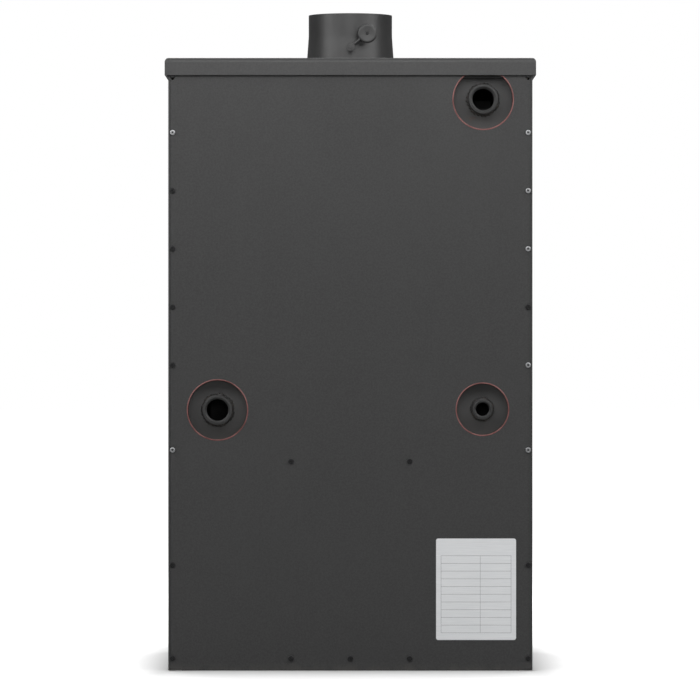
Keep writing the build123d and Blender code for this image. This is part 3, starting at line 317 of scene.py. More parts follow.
def boiler_steel():
    """Painted boiler plate with rolling marks and a little rust breaking through."""
    r = Recipe("boiler_steel", tone(50), 0.6)
    primer = r.blend(r.mapped(r.noise(12.0, 5.0), 0.3, 0.7), tone(55), tone(68, 67, 67))
    rust = r.mapped(r.noise(26.0, 8.0, 0.7), 0.64, 0.76, 0.0, 0.45)
    brown = r.blend(r.noise(300.0, 3.0), tone(78, 46, 30), tone(112, 66, 40))
    r.colour(r.blend(rust, primer, brown))
    r.roughness(r.mapped(rust, 0.0, 0.8, 0.5, 0.88))
    r.bump(r.noise(500.0, 3.0), 0.12)
    r.bump(r.noise(1.0, 4.0, 0.6, r.stretched(300.0, 300.0, 12.0)), 0.1, 0.5)
    return r


def boiler_inside():
    """The inner shell: soot on the fire side, black scale on the water side."""
    r = Recipe("boiler_inside", tone(20), 0.8)
    soot = r.mapped(r.noise(16.0, 6.0, 0.65), 0.35, 0.7)
    r.colour(r.blend(soot, tone(14), tone(26, 25, 24)))
    r.roughness(r.mapped(r.noise(50.0, 4.0), 0.3, 0.7, 0.7, 0.95))
    r.bump(r.noise(260.0, 4.0), 0.2)
    return r


def weld_metal():
    """A weld bead under a thin coat of paint."""
    r = Recipe("weld_metal", tone(46), 0.5)
    tint = r.mapped(r.noise(90.0, 4.0), 0.4, 0.65)
    r.colour(r.blend(tint, tone(38, 38, 39), tone(54, 50, 47)))
    r.roughness(r.mapped(r.noise(240.0, 3.0), 0.3, 0.7, 0.35, 0.6))
    r.bump(r.noise(420.0, 3.0), 0.15)
    return r


def red_trim():
    """Heat-proof edge trim, a little faded and dusty on its crown."""
    r = Recipe("red_trim", tone(110, 64, 62), 0.5)
    faded = r.mapped(r.noise(60.0, 4.0), 0.35, 0.65)
    r.colour(r.blend(faded, tone(94, 50, 47), tone(128, 84, 81)))
    r.roughness(r.mapped(r.noise(200.0, 3.0), 0.3, 0.7, 0.42, 0.6))
    r.bump(r.noise(1200.0, 2.0), 0.03)
    return r


def insulation():
    """Pressed mineral fibre: matted strands and loose tufts."""
    r = Recipe("insulation", tone(190, 184, 160), 0.95)
    matted = r.noise(160.0, 6.0, 0.7, r.stretched(1.0, 1.0, 4.0), 1.2)
    r.colour(r.blend(r.mapped(matted, 0.3, 0.7), tone(160, 150, 118), tone(206, 199, 174)))
    r.roughness(r.mapped(matted, 0.3, 0.7, 0.9, 1.0))
    r.bump(matted, 1.2)
    r.bump(r.cells(500.0, r.stretched(1.0, 1.0, 5.0)), 0.5, 0.6)
    return r


def plated(name, dark, light, rough_low, rough_high, metallic=1.0, grain=300.0):
    """Plated or bare metal with a slight spangle and small marks."""
    r = Recipe(name, light, rough_high, metallic)
    spangle = r.cells(grain)
    r.colour(r.blend(r.mapped(spangle, 0.1, 0.8), light, dark))
    r.roughness(r.mapped(r.noise(grain, 3.0), 0.3, 0.7, rough_low, rough_high))
    r.bump(r.noise(grain * 4, 3.0), 0.02)
    return r


def screw_centres(node):
    """The middle of each separate screw in a node, in metres, at the height of its head."""
    screws = []
    for vert in frame["nodes"][node].data.vertices:
        home = next((s for s in screws if (s[0].xz - vert.co.xz).length < SCREW_SPAN * MM), None)
        if home:
            home.append(vert.co.copy())
        else:
            screws.append([vert.co.copy()])
    centres = []
    for screw in screws:
        xs, zs = [v.x for v in screw], [v.z for v in screw]
        top = max(v.y for v in screw)
        centres.append(((min(xs) + max(xs)) / 2, top, (min(zs) + max(zs)) / 2))
    return centres


def zinc():
    """Zinc plating, with painted shade darkening the middle of each screw head, in its cross recess."""
    r = plated("zinc", tone(150, 151, 153), tone(180, 181, 182), 0.3, 0.46, 1.0, 700.0)
    nearest = FAR_AWAY
    for x, y, z in screw_centres("zinc_panel_screws"):
        nearest = r.arithmetic("MINIMUM", r.near(x=x, y=y, z=z), nearest)
    # A dark disc round each head's middle: painted shade in the cross recess
    painted_recess_shade = r.mapped(nearest, 2.1 * MM, 1.3 * MM)
    plating = r.shader.inputs["Base Color"].links[0].from_socket
    r.colour(r.blend(painted_recess_shade, plating, tone(18)))
    return r


def black_steel():
    r = plated("black_steel", tone(26), tone(36, 36, 38), 0.38, 0.55, 0.5, 500.0)
    r.bump(r.noise(90.0, 4.0), 0.1, 0.3)
    return r


def pan_zinc():
    """Galvanised sheet: large spangle, pale grey ash film."""
    r = Recipe("pan_zinc", tone(160), 0.45, 0.8)
    flake = r.cells(70.0, wanted="Color")
    shade = r.blend(r.mapped(flake, 0.2, 0.8), tone(138, 141, 144), tone(176, 179, 181))
    ash = r.mapped(r.noise(18.0, 6.0, 0.65), 0.48, 0.7, 0.0, 0.7)
    r.colour(r.blend(ash, shade, tone(150, 146, 140)))
    r.roughness(r.mapped(ash, 0.0, 0.7, 0.36, 0.8))
    r.bump(r.noise(600.0, 3.0), 0.05)
    return r


def handle_steel():
    """Brushed steel, lines along the bar."""
    r = Recipe("handle_steel", tone(188), 0.3, 1.0)
    lines = r.noise(1.0, 3.0, 0.6, r.stretched(25.0, 2600.0, 2600.0))
    r.colour(r.blend(r.mapped(lines, 0.3, 0.7), tone(176, 176, 177), tone(200, 200, 199)))
    r.roughness(r.mapped(lines, 0.3, 0.7, 0.24, 0.4))
    r.bump(lines, 0.02)
    return r


def plate_silver():
    """Silver foil plate, faintly brushed, its edge lighter."""
    r = Recipe("plate_silver", tone(214), 0.42, 0.15)
    lines = r.noise(1.0, 3.0, 0.6, r.stretched(30.0, 30.0, 2200.0))
    r.colour(r.blend(r.mapped(lines, 0.3, 0.7), tone(206, 208, 210), tone(222, 223, 224)))
    r.roughness(r.mapped(r.noise(40.0, 4.0), 0.3, 0.7, 0.34, 0.5))
    r.bump(lines, 0.01)
    return r


def plate_print():
    """Grey ruled lines printed on the plate, slightly worn."""
    r = Recipe("plate_print", tone(120), 0.6)
    worn = r.mapped(r.noise(420.0, 4.0), 0.5, 0.75, 0.0, 0.6)
    r.colour(r.blend(worn, tone(112, 113, 116), tone(176, 177, 178)))
    r.roughness(r.mapped(worn, 0.0, 0.6, 0.5, 0.7))
    r.bump(r.noise(1500.0, 2.0), 0.01)
    return r


def fibre_seal():
    """Woven glass-fibre rope and tape: crossing strands, greyed by soot."""
    r = Recipe("fibre_seal", tone(92), 0.95)
    over = r.bands(90.0, "DIAGONAL", 0.5)
    across = r.bands(90.0, "DIAGONAL", 0.5, r.stretched(-1.0, 1.0, 1.0))
    weave = r.arithmetic("MAXIMUM", over, across)
    soot = r.mapped(r.noise(24.0, 5.0), 0.35, 0.7)
    fibre = r.blend(soot, tone(104, 102, 98), tone(62, 60, 58))
    r.colour(r.blend(r.mapped(weave, 0.2, 1.0), tone(44, 43, 42), fibre))
    r.roughness(r.mapped(weave, 0.0, 1.0, 0.98, 0.88))
    r.bump(weave, 0.8)
    r.bump(r.noise(1500.0, 3.0), 0.1)
    return r


def door_glass():
    """Clear ceramic glass with a slight amber cast and a smoky film towards its edges."""
    r = Recipe("door_glass", tone(238, 230, 214), 0.03)
    smoke = r.mapped(r.noise(7.0, 5.0, 0.6), 0.4, 0.75)
    r.colour(r.blend(smoke, tone(242, 236, 222), tone(206, 190, 164)))
    r.roughness(r.mapped(smoke, 0.0, 1.0, 0.02, 0.16))
    r.bump(r.noise(12.0, 2.0), 0.05, 0.2)
    r.set("Transmission Weight", 1.0)
    r.set("IOR", 1.52)
    return r


def print_black():
    """The baked black border on the glass."""
    r = Recipe("print_black", tone(20), 0.35)
    r.colour(r.blend(r.noise(600.0, 2.0), tone(17), tone(26)))
    r.roughness(r.mapped(r.noise(80.0, 3.0), 0.3, 0.7, 0.28, 0.42))
    r.bump(r.noise(2000.0, 2.0), 0.01)
    return r


def grip_wood():
    """Oiled beech: long grain, short flecks, darker where it is held."""
    r = Recipe("grip_wood", tone(124, 84, 52), 0.5)
    grain = r.noise(1.0, 5.0, 0.6, r.stretched(260.0, 260.0, 14.0), 0.8)
    rings = r.bands(34.0, "X", 3.0, r.stretched(1.0, 1.0, 0.12))
    fleck = r.mapped(r.cells(1.0, r.stretched(900.0, 900.0, 160.0)), 0.0, 0.25, 0.35, 0.0)
    wood = r.blend(r.mapped(rings, 0.0, 1.0), tone(104, 66, 38), tone(142, 98, 62))
    wood = r.blend(r.mapped(grain, 0.35, 0.7, 0.0, 0.7), wood, tone(82, 50, 28))
    r.colour(r.blend(fleck, wood, tone(58, 34, 18)))
    r.roughness(r.mapped(grain, 0.3, 0.7, 0.38, 0.56))
    r.bump(grain, 0.12, 0.6)
    return r


def firebrick():
    """Pressed fireclay bricks laid side by side: sandy skin, flecks, joints and soot upwards."""
    r = Recipe("firebrick", tone(196, 176, 142), 0.92)
    sand = r.noise(650.0, 5.0, 0.65)
    fleck = r.mapped(r.cells(240.0), 0.05, 0.22, 0.5, 0.0)
    clay = r.blend(r.mapped(r.noise(30.0, 5.0), 0.3, 0.7), tone(176, 154, 120), tone(204, 186, 154))
    clay = r.blend(fleck, clay, tone(120, 92, 66))
    along = r.arithmetic("ADD", r.axis("X"), r.axis("Y"))
    joint_phase = r.arithmetic("FRACT", r.arithmetic("MULTIPLY", along, 1 / (BRICK_PITCH * MM)), 0.0)
    joint = r.mapped(joint_phase, 0.985, 0.99)
    soot = r.mapped(r.noise(11.0, 5.0), 0.42, 0.68, 0.0, 0.75)
    clay = r.blend(soot, clay, tone(64, 58, 52))
    r.colour(r.blend(joint, clay, tone(42, 38, 34)))
    r.roughness(r.mapped(sand, 0.0, 1.0, 0.86, 0.98))
    r.bump(r.arithmetic("MULTIPLY", joint, -1.0), 1.2)
    r.bump(sand, 0.4)
    return r


def gauge_metal():
    return plated("gauge_metal", tone(190), tone(212, 212, 213), 0.16, 0.28, 1.0, 900.0)


def gauge_face():
    """White printed dial, yellowed a little by heat."""
    r = Recipe("gauge_face", tone(236, 235, 230), 0.5)
    aged = r.mapped(r.noise(160.0, 4.0), 0.35, 0.7)
    r.colour(r.blend(aged, tone(238, 238, 235), tone(228, 224, 212)))
    r.roughness(r.mapped(aged, 0.0, 1.0, 0.42, 0.55))
    r.bump(r.noise(1800.0, 2.0), 0.01)
    return r


def gauge_print():
    """Black print on the dial."""
    r = Recipe("gauge_print", tone(28), 0.6)
    r.colour(r.blend(r.noise(1500.0, 2.0), tone(22), tone(40)))
    r.roughness(r.mapped(r.noise(900.0, 2.0), 0.3, 0.7, 0.5, 0.65))
    r.bump(r.noise(2500.0, 2.0), 0.01)
    return r


def gauge_needle():
    """Red lacquer with tiny chips."""
    r = Recipe("gauge_needle", tone(186, 44, 34), 0.35)
    r.colour(r.blend(r.mapped(r.noise(900.0, 3.0), 0.3, 0.8), tone(190, 46, 36), tone(150, 32, 26)))
    r.roughness(r.mapped(r.noise(700.0, 2.0), 0.3, 0.7, 0.28, 0.42))
    r.bump(r.noise(2500.0, 2.0), 0.01)
    return r


MATERIALS = {}
for make in (
    cabinet_steel, lid_enamel, collar_enamel, socket_paint, cast_iron, boiler_steel, boiler_inside,
    weld_metal, red_trim, insulation, zinc, black_steel, pan_zinc, handle_steel, plate_silver,
    plate_print, fibre_seal, door_glass, print_black, grip_wood, firebrick, gauge_metal, gauge_face,
    gauge_print, gauge_needle,
):
    MATERIALS[make.__name__] = make().material


# Making pieces
BEVEL_STEPS = 2
# Points nearer than this are one point, and faces flatter than this angle are one face
SAME_POINT = 0.002
FLAT = radians(0.3)


def finish_piece(name, shape, slot, body, look=None, smooth=True):
    """Turns a finished bmesh into a piece that rides on a body; look names its material."""
    bmesh.ops.recalc_face_normals(shape, faces=shape.faces)
    for face in shape.faces:
        face.smooth = smooth
    for edge in shape.edges:
        edge.smooth = not (edge.is_manifold and edge.calc_face_angle(0.0) > SHARP)
    mesh = bpy.data.meshes.new(name)
    shape.to_mesh(mesh)
    shape.free()
    mesh.materials.append(MATERIALS[look or slot])
    piece = bpy.data.objects.new(name, mesh)
    bpy.context.scene.collection.objects.link(piece)
    weighted = piece.modifiers.new("even shading", "WEIGHTED_NORMAL")
    weighted.keep_sharp = True
    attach(piece, body)
    return piece


def softened(node, bevel):
    """A copy of a node with its sharp edges broken, which stands for the node."""
    source = frame["nodes"][node]
    shape = bmesh.new()
    shape.from_mesh(source.data)
    bmesh.ops.remove_doubles(shape, verts=shape.verts, dist=SAME_POINT * MM)
    bmesh.ops.dissolve_limit(shape, angle_limit=FLAT, verts=shape.verts, edges=shape.edges,
                             use_dissolve_boundaries=False)
    sharp = [e for e in shape.edges if e.is_manifold and e.calc_face_angle(0.0) > SHARP]
    if bevel:
        bmesh.ops.bevel(shape, geom=sharp, offset=bevel * MM, offset_type="OFFSET", affect="EDGES",
                        segments=BEVEL_STEPS, profile=0.5, clamp_overlap=True, material=-1)
    piece = finish_piece(node + "_shown", shape, SLOT_OF[node], body_of(source)[0],
                         OTHER_LOOKS.get(node))
    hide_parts(node)
    return piece


def lathe(shape, profile, centre, axis="Y", steps=64, closed=True):
    """Spins a profile of (radius, along) points round an axis; centre is the axis' two other places."""
    points = []
    for radius, along in profile:
        if axis == "Y":
            place = (centre[0] + radius, along, centre[1])
        elif axis == "Z":
            place = (centre[0] + radius, centre[1], along)
        else:
            place = (along, centre[0] + radius, centre[1])
        points.append(shape.verts.new(Vector(place) * MM))
    edges = [shape.edges.new(pair) for pair in zip(points, points[1:])]
    if closed:
        edges.append(shape.edges.new((points[-1], points[0])))
    if axis == "Y":
        pivot, way = (centre[0], 0, centre[1]), (0, 1, 0)
    elif axis == "Z":
        pivot, way = (centre[0], centre[1], 0), (0, 0, 1)
    else:
        pivot, way = (0, centre[0], centre[1]), (1, 0, 0)
    bmesh.ops.spin(shape, geom=points + edges, cent=Vector(pivot) * MM, axis=way, angle=FULL_TURN,
                   steps=steps, use_merge=True, use_duplicate=False)
    bmesh.ops.remove_doubles(shape, verts=shape.verts, dist=0.001 * MM)


def slab(shape, low, high):
    """A box between two corners in millimetres."""
    low, high = Vector(low), Vector(high)
    size = high - low
    place = Matrix.Translation((low + high) / 2 * MM) @ Matrix.Diagonal((*(size * MM), 1.0))
    bmesh.ops.create_cube(shape, size=1.0, matrix=place)


def inside(low, high, inset):
    """Lowest and highest X, then Z, of an outline drawn in by an even inset."""
    return low.x + inset, high.x - inset, low.z + inset, high.z - inset


def border(shape, x0, x1, z0, z1, width, y_back, y_front, bevel=0.0):
    """A flat rectangular ring that stands on y_back and rises to y_front, with a rounded top."""
    place = (Matrix.Translation(Vector(((x0 + x1) / 2, y_back, (z0 + z1) / 2)) * MM)
             @ Matrix.Rotation(radians(90), 4, "X")
             @ Matrix.Diagonal(((x1 - x0) * MM, (z1 - z0) * MM, 1.0, 1.0)))
    made = bmesh.ops.create_grid(shape, x_segments=1, y_segments=1, size=0.5, matrix=place)
    face = made["verts"][0].link_faces[0]
    ring = bmesh.ops.inset_individual(shape, faces=[face], thickness=width * MM,
                                      use_even_offset=True)["faces"]
    bmesh.ops.delete(shape, geom=[face], context="FACES_ONLY")
    grown = bmesh.ops.extrude_face_region(shape, geom=ring, use_keep_orig=True)["geom"]
    moved = [g for g in grown if isinstance(g, bmesh.types.BMVert)]
    bmesh.ops.translate(shape, verts=moved, vec=Vector((0, y_front - y_back, 0)) * MM)
    if bevel:
        faces = {f for v in moved for f in v.link_faces if all(w in moved for w in f.verts)}
        edges = {e for f in faces for e in f.edges if e.calc_face_angle(0.0) > SHARP}
        bmesh.ops.bevel(shape, geom=list(edges), offset=bevel * MM, offset_type="OFFSET",
                        affect="EDGES", segments=3, profile=0.5, clamp_overlap=True, material=-1)


# Width of the broken edges of each node of the model, in millimetres
EDGE_BREAKS = {
    "base_plate": 0.6, "left_side_panel": 0.5, "right_side_panel": 0.5, "back_panel": 0.35,
    "top_lid": 0.6, "front_frame": 1.0, "log_niche_liner": 0.4, "boiler_shelf": 0.5,
    "boiler_outer_shell": 0.6, "boiler_inner_shell": 0.8, "jacket_closing_ring": 0.4,
    "jacket_stays": 0.3, "flue_stub": 0.5, "hearth_plate": 0.8, "grate_bed": 1.2,
    "riddling_grate": 0.7, "riddling_rod": 0.4, "firebricks": 1.2, "smoke_baffle": 2.0,
    "log_guard": 1.0, "fire_door": 0.9, "door_latch": 0.6, "door_handle_lever": 0.6,
    "door_handle_spindle": 0.4, "door_handle_grip": 0.8, "glass_clips": 0.3,
    "glass_clip_screws": 0.2, "door_hinge_pins": 0.5, "ash_drawer_front": 0.8, "ash_pan": 0.4,
    "ash_drawer_handle": 1.2, "ash_drawer_runners": 0.5, "left_air_rosette": 0.5,
    "right_air_rosette": 0.5, "rosette_pivots": 0.2, "secondary_air_slider": 0.4,
    "secondary_air_rails": 0.3, "thermometer_case": 0.3, "thermometer_needle": 0.1,
    "door_gasket": 0.5, "insulation_boards": 1.0, "damper_flap": 0.4, "damper_spindle": 0.3,
    "damper_lever": 0.4, "collar_bolts": 0.5, "zinc_panel_screws": 0.12,
    "black_panel_screws": 0.12, "flue_collar": 0.7,
}
# Nodes whose material isn't the one of their slot
OTHER_LOOKS = {"boiler_inner_shell": "boiler_inside", "damper_lever": "collar_enamel"}
LID_CORNER_RADIUS = 8.0
LID_TIGHT_RADIUS = 2.5
LID_LEAST_RADIUS = 0.3
TOP_SCREW_RISE = 4.5
# The upper corner screws lie above this height and outside this distance from the middle
TOP_SCREW_LEAST_Z = 822.0
TOP_SCREW_LEAST_X = 232.0


def tighten_lid_corners(piece):
    """Draws the lid's upright corners out to the small radius that the picture shows."""
    middle_x, middle_y = (lid_low.x + lid_high.x) / 2, (lid_low.y + lid_high.y) / 2
    reach_x = (lid_high.x - lid_low.x) / 2 - LID_CORNER_RADIUS
    reach_y = (lid_high.y - lid_low.y) / 2 - LID_CORNER_RADIUS
    pull = LID_CORNER_RADIUS - LID_TIGHT_RADIUS
    for vert in piece.data.vertices:
        x, y = vert.co.x / MM - middle_x, vert.co.y / MM - middle_y
        out_x, out_y = abs(x) - reach_x, abs(y) - reach_y
        if out_x <= 0 or out_y <= 0:
            continue
        radius = (out_x ** 2 + out_y ** 2) ** 0.5
        if radius <= SAME_POINT:
            continue
        part = max(radius - pull, LID_LEAST_RADIUS) / radius
        shift = min(pull, radius)
        vert.co.x = (middle_x + (1 if x > 0 else -1) * (reach_x + shift + out_x * part)) * MM
        vert.co.y = (middle_y + (1 if y > 0 else -1) * (reach_y + shift + out_y * part)) * MM
    piece.data.update()


def raise_top_screws(piece):
    """Lifts the two upper corner screws so that the lid's skirt half hides them."""
    for vert in piece.data.vertices:
        if vert.co.z > TOP_SCREW_LEAST_Z * MM and abs(vert.co.x) > TOP_SCREW_LEAST_X * MM:
            vert.co.z += TOP_SCREW_RISE * MM
    piece.data.update()


for node, bevel in EDGE_BREAKS.items():
    shown = softened(node, bevel)
    if node == "top_lid":
        tighten_lid_corners(shown)
    if node == "black_panel_screws":
        raise_top_screws(shown)

for node, material_slot in SLOT_OF.items():
    frame["nodes"][node].data.materials.clear()
    frame["nodes"][node].data.materials.append(MATERIALS[material_slot])


# Water sockets at the rear
# Bore radius, thread pitch and thread depth of each socket
LARGE_THREAD = (15.15, 2.309, 1.48)
SMALL_THREAD = (9.3, 1.814, 1.16)
SOCKET_THREADS = {
    "flow_socket": LARGE_THREAD, "return_socket": LARGE_THREAD, "drain_socket": SMALL_THREAD,
}
THREAD_TURNS = 7
THREAD_STEPS = 40


def threaded_socket(node, bore_radius, pitch, depth):
    """A pipe socket with its real internal thread, a helix cut from the mouth inwards."""
    low, high = corners(node)
    centre = ((low.x + high.x) / 2, (low.z + high.z) / 2)
    outer = (high.x - low.x) / 2
    mouth, root = high.y, low.y
    groove = bore_radius + depth
    thread_end = mouth - 1.5 - pitch * (THREAD_TURNS + 1)
    shape = bmesh.new()
    lathe(shape, [
        (groove + 0.9, mouth), (outer - 1.3, mouth), (outer - 0.5, mouth - 0.35),
        (outer, mouth - 1.2), (outer, root), (bore_radius, root), (bore_radius, thread_end),
        (groove, thread_end + 1.5), (groove, mouth - 0.9),
    ], centre, "Y", 72)
    # The ridge of one turn, wound round the bore
    start = mouth - 1.2
    ridge = [
        (groove + 0.25, start), (bore_radius + 0.2, start - pitch * 0.44),
        (bore_radius + 0.2, start - pitch * 0.56), (groove + 0.25, start - pitch),
    ]
    points = [shape.verts.new(Vector((centre[0] + r, y, centre[1])) * MM) for r, y in ridge]
    face = shape.faces.new(points)
    steps = THREAD_STEPS * THREAD_TURNS
    bmesh.ops.spin(shape, geom=[face], cent=Vector((centre[0], 0, centre[1])) * MM, axis=(0, 1, 0),
                   angle=FULL_TURN * THREAD_TURNS, steps=steps, use_merge=False,
                   use_duplicate=False, dvec=Vector((0, -pitch / THREAD_STEPS, 0)) * MM)
    piece = finish_piece(node + "_threaded", shape, SLOT_OF[node], "stove_body", "socket_paint")
    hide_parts(node)
    return centre, outer


def weld_ring(name, centre, radius, y, size=2.4):
    """A hand-laid weld bead round a socket where it meets the boiler's rear wall."""
    shape = bmesh.new()
    rounds = [(radius - 0.4, y - 0.3), (radius + size, y - 0.3), (radius + size * 0.86, y + size * 0.3),
              (radius + size * 0.52, y + size * 0.66), (radius + size * 0.12, y + size * 0.9),
              (radius - 0.4, y + size * 0.9)]
    lathe(shape, rounds, centre, "Y", 120)
    for vert in shape.verts:
        offset = Vector((vert.co.x - centre[0] * MM, 0, vert.co.z - centre[1] * MM))
        if offset.length > (radius + 0.2) * MM:
            turn = Vector((1, 0)).angle_signed(Vector((offset.x, offset.z)))
            ripple = 1 + 0.035 * sin(26 * turn) + 0.02 * sin(7 * turn + 1.3)
            vert.co.x = centre[0] * MM + offset.x * ripple
            vert.co.z = centre[1] * MM + offset.z * ripple
    finish_piece(name, shape, "boiler_steel", "stove_body", "weld_metal")


for node, thread in SOCKET_THREADS.items():
    socket_centre, socket_outer = threaded_socket(node, *thread)
    weld_ring(node + "_weld", socket_centre, socket_outer, boiler_rear)


# Red trims of the cut-outs
PANEL_SHEET = 2.0
# Radius of the cut edge round each socket
TRIM_RADII = {"flow_socket": 42.0, "return_socket": 42.0, "drain_socket": 36.5}


def cutout_trim(node, radius):
    """A rounded U-section edging pushed over the panel's cut edge."""
    place = middle(node)
    face, rear = back_face, back_face - PANEL_SHEET
    shape = bmesh.new()
    lathe(shape, [
        (radius, face), (radius + 1.1, face), (radius + 1.1, face + 0.3), (radius + 0.8, face + 0.55),
        (radius + 0.3, face + 0.7), (radius - 0.2, face + 0.65), (radius - 0.5, face + 0.4),
        (radius - 0.65, face), (radius - 0.65, rear - 0.3), (radius - 0.4, rear - 0.6),
        (radius, rear - 0.7), (radius + 0.9, rear - 0.7), (radius + 0.9, rear), (radius, rear),
    ], (place.x, place.z), "Y", 96)
    piece = finish_piece("trim_round_" + node, shape, "red_trim", "stove_body")
    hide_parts("cutout_trims")


for node, radius in TRIM_RADII.items():
    cutout_trim(node, radius)


# Data plate with ruled lines
PLATE_RIM = 0.1
PLATE_GLUE = 0.02
PRINT_SINK = 0.02
PRINT_RISE = 0.04
PLATE_LINE = 2.4
PLATE_MARGIN = 7
PLATE_FOOT = 10
PLATE_HEAD = 24
RULE_COUNT = 11
RULE_HALF = 0.2
# Where the upright line splits the ruled width
RULE_SPLIT = 0.44


def upright_edge(edge):
    """Whether an edge of the plate runs through its thickness."""
    first, second = (vert.co for vert in edge.verts)
    return (first.xz - second.xz).length < SAME_POINT * MM


def data_plate():
    """The silver plate with pressed edge, and blank ruled lines printed on it."""
    face = plate_high.y - PLATE_RIM
    shape = bmesh.new()
    slab(shape, (plate_low.x, plate_low.y - PLATE_GLUE, plate_low.z),
         (plate_high.x, face, plate_high.z))
    corners_of_plate = [edge for edge in shape.edges if upright_edge(edge)]
    bmesh.ops.bevel(shape, geom=corners_of_plate, offset=3 * MM, offset_type="OFFSET",
                    affect="EDGES", segments=4, profile=0.5, clamp_overlap=True, material=-1)
    border(shape, *inside(plate_low, plate_high, PLATE_LINE), 1.0, face - PLATE_GLUE, plate_high.y,
           0.05)
    piece = finish_piece("data_plate_foil", shape, "plate_silver", "stove_body")
    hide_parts("data_plate")
    lines = bmesh.new()
    back, front = face - PRINT_SINK, face + PRINT_RISE
    left, right = plate_low.x + PLATE_MARGIN, plate_high.x - PLATE_MARGIN
    lowest = plate_low.z + PLATE_FOOT
    pitch = (plate_high.z - PLATE_HEAD - lowest) / (RULE_COUNT - 1)
    for index in range(RULE_COUNT):
        z = lowest + index * pitch
        slab(lines, (left, back, z - RULE_HALF), (right, front, z + RULE_HALF))
    for x in (left, left + RULE_SPLIT * (right - left), right):
        slab(lines, (x - RULE_HALF, back, lowest), (x + RULE_HALF, front, z))
    finish_piece("data_plate_rules", lines, "plate_silver", "stove_body", "plate_print", False)


data_plate()


# Damper knob, and the nut and washer of its lever
NUT_RADIUS = 3.6
NUT_HEIGHT = 1.8


def damper_fittings():
    """The flat turned knob with its rivet, and the nut and washer of the lever's boss."""
    low, high = corners("damper_knob")
    centre = ((low.x + high.x) / 2, (low.z + high.z) / 2)
    radius = (high.x - low.x) / 2
    shape = bmesh.new()
    lathe(shape, [
        (0, low.y), (radius - 2.4, low.y), (radius - 0.9, low.y + 0.5), (radius - 0.2, low.y + 1.3),
        (radius, low.y + 2.2), (radius, high.y - 2.2), (radius - 0.2, high.y - 1.2),
        (radius - 0.9, high.y - 0.45), (radius - 2.2, high.y), (radius - 3.4, high.y - 0.1),
        (4.2, high.y - 0.55), (2.9, high.y - 0.6), (2.7, high.y - 1.4), (0, high.y - 1.4),
    ], centre, "Y", 72, False)
    piece = finish_piece("damper_knob_turned", shape, SLOT_OF["damper_knob"], "flue_damper",
                         "collar_enamel")
    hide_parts("damper_knob")
    rivet = bmesh.new()
    lathe(rivet, [(0, high.y - 1.6), (1.9, high.y - 1.6), (1.9, high.y - 1.2), (1.3, high.y - 0.7),
                  (0.6, high.y - 0.5), (0, high.y - 0.45)], centre, "Y", 28, False)
    finish_piece("damper_knob_rivet", rivet, "black_steel", "flue_damper")
    hub = middle("damper_spindle")
    hub_face = corners("damper_lever")[1].y
    nut = bmesh.new()
    nut_place = (Matrix.Translation(Vector((hub.x, hub_face + NUT_HEIGHT / 2, hub.z)) * MM)
                 @ Matrix.Rotation(radians(90), 4, "X"))
    made = bmesh.ops.create_cone(nut, cap_ends=True, segments=6, radius1=NUT_RADIUS * MM,
                                 radius2=NUT_RADIUS * MM, depth=NUT_HEIGHT * MM, matrix=nut_place)
    edges = {e for v in made["verts"] for e in v.link_edges}
    bmesh.ops.bevel(nut, geom=list(edges), offset=0.25 * MM, offset_type="OFFSET", affect="EDGES",
                    segments=2, profile=0.5, clamp_overlap=True, material=-1)
    finish_piece("damper_spindle_nut", nut, "black_steel", "flue_damper", "collar_enamel")
    washer = bmesh.new()
    lathe(washer, [(0, hub_face), (6.3, hub_face), (6.3, hub_face + 0.5), (5.9, hub_face + 0.8),
                   (0, hub_face + 0.8)], (hub.x, hub.z), "Y", 48, False)
    finish_piece("damper_spindle_washer", washer, "black_steel", "flue_damper", "collar_enamel")


damper_fittings()


# Mouldings, glass print and rings of the fire door and the drawer
# How far inside the glass, the door and the drawer front these lines lie
WINDOW_LINE = 3
GLASS_PRINT_LINE = 10.5
DOOR_LINE = 13
DRAWER_LINE = 6
# How deep a moulding's root stands in the face that carries it
MOULDING_ROOT = 0.4
HANDLE_POST_X = 45
HANDLE_BAR_RADIUS = 6.0


def door_dressing():
    """A raised moulding round the window, a frame line near the door's edge, and the glass print."""
    shape = bmesh.new()
    root = door_low.y + MOULDING_ROOT
    border(shape, *inside(glass_low, glass_high, WINDOW_LINE), 9, root, door_low.y - 3.0, 1.4)
    border(shape, *inside(door_low, door_high, DOOR_LINE), 3.5, root, door_low.y - 1.4, 0.7)
    finish_piece("fire_door_moulding", shape, "cast_iron", "fire_door")
    printed = bmesh.new()
    border(printed, *inside(glass_low, glass_high, GLASS_PRINT_LINE), 11.5, glass_low.y - 0.01,
           glass_low.y - 0.07)
    finish_piece("door_glass_print", printed, "black_steel", "fire_door", "print_black", False)


def drawer_dressing():
    """A raised line round the drawer front and collars at the handle's posts."""
    shape = bmesh.new()
    border(shape, *inside(drawer_low, drawer_high, DRAWER_LINE), 2.6, drawer_low.y + MOULDING_ROOT,
           drawer_low.y - 1.0, 0.5)
    finish_piece("ash_drawer_moulding", shape, "cast_iron", "ash_drawer")
    bar = middle("ash_drawer_handle")
    rings = bmesh.new()
    for x in (-HANDLE_POST_X, HANDLE_POST_X):
        lathe(rings, [(5.0, drawer_low.y), (8.6, drawer_low.y), (8.6, drawer_low.y - 1.2),
                      (7.8, drawer_low.y - 2.2), (6.2, drawer_low.y - 2.8), (5.0, drawer_low.y - 2.9)],
              (x, (drawer_low.z + drawer_high.z) / 2), "Y", 40)
    bar_low, bar_high = corners("ash_drawer_handle")
    bar_y = bar_low.y + HANDLE_BAR_RADIUS
    for side in (-1, 1):
        end = side * bar_high.x
        lathe(rings, [(HANDLE_BAR_RADIUS, end - side * 8.0), (6.9, end - side * 7.6),
                      (6.9, end - side * 5.4), (HANDLE_BAR_RADIUS, end - side * 5.0)],
              (bar_y, bar.z), "X", 40)
    finish_piece("ash_drawer_handle_rings", rings, "handle_steel", "ash_drawer")


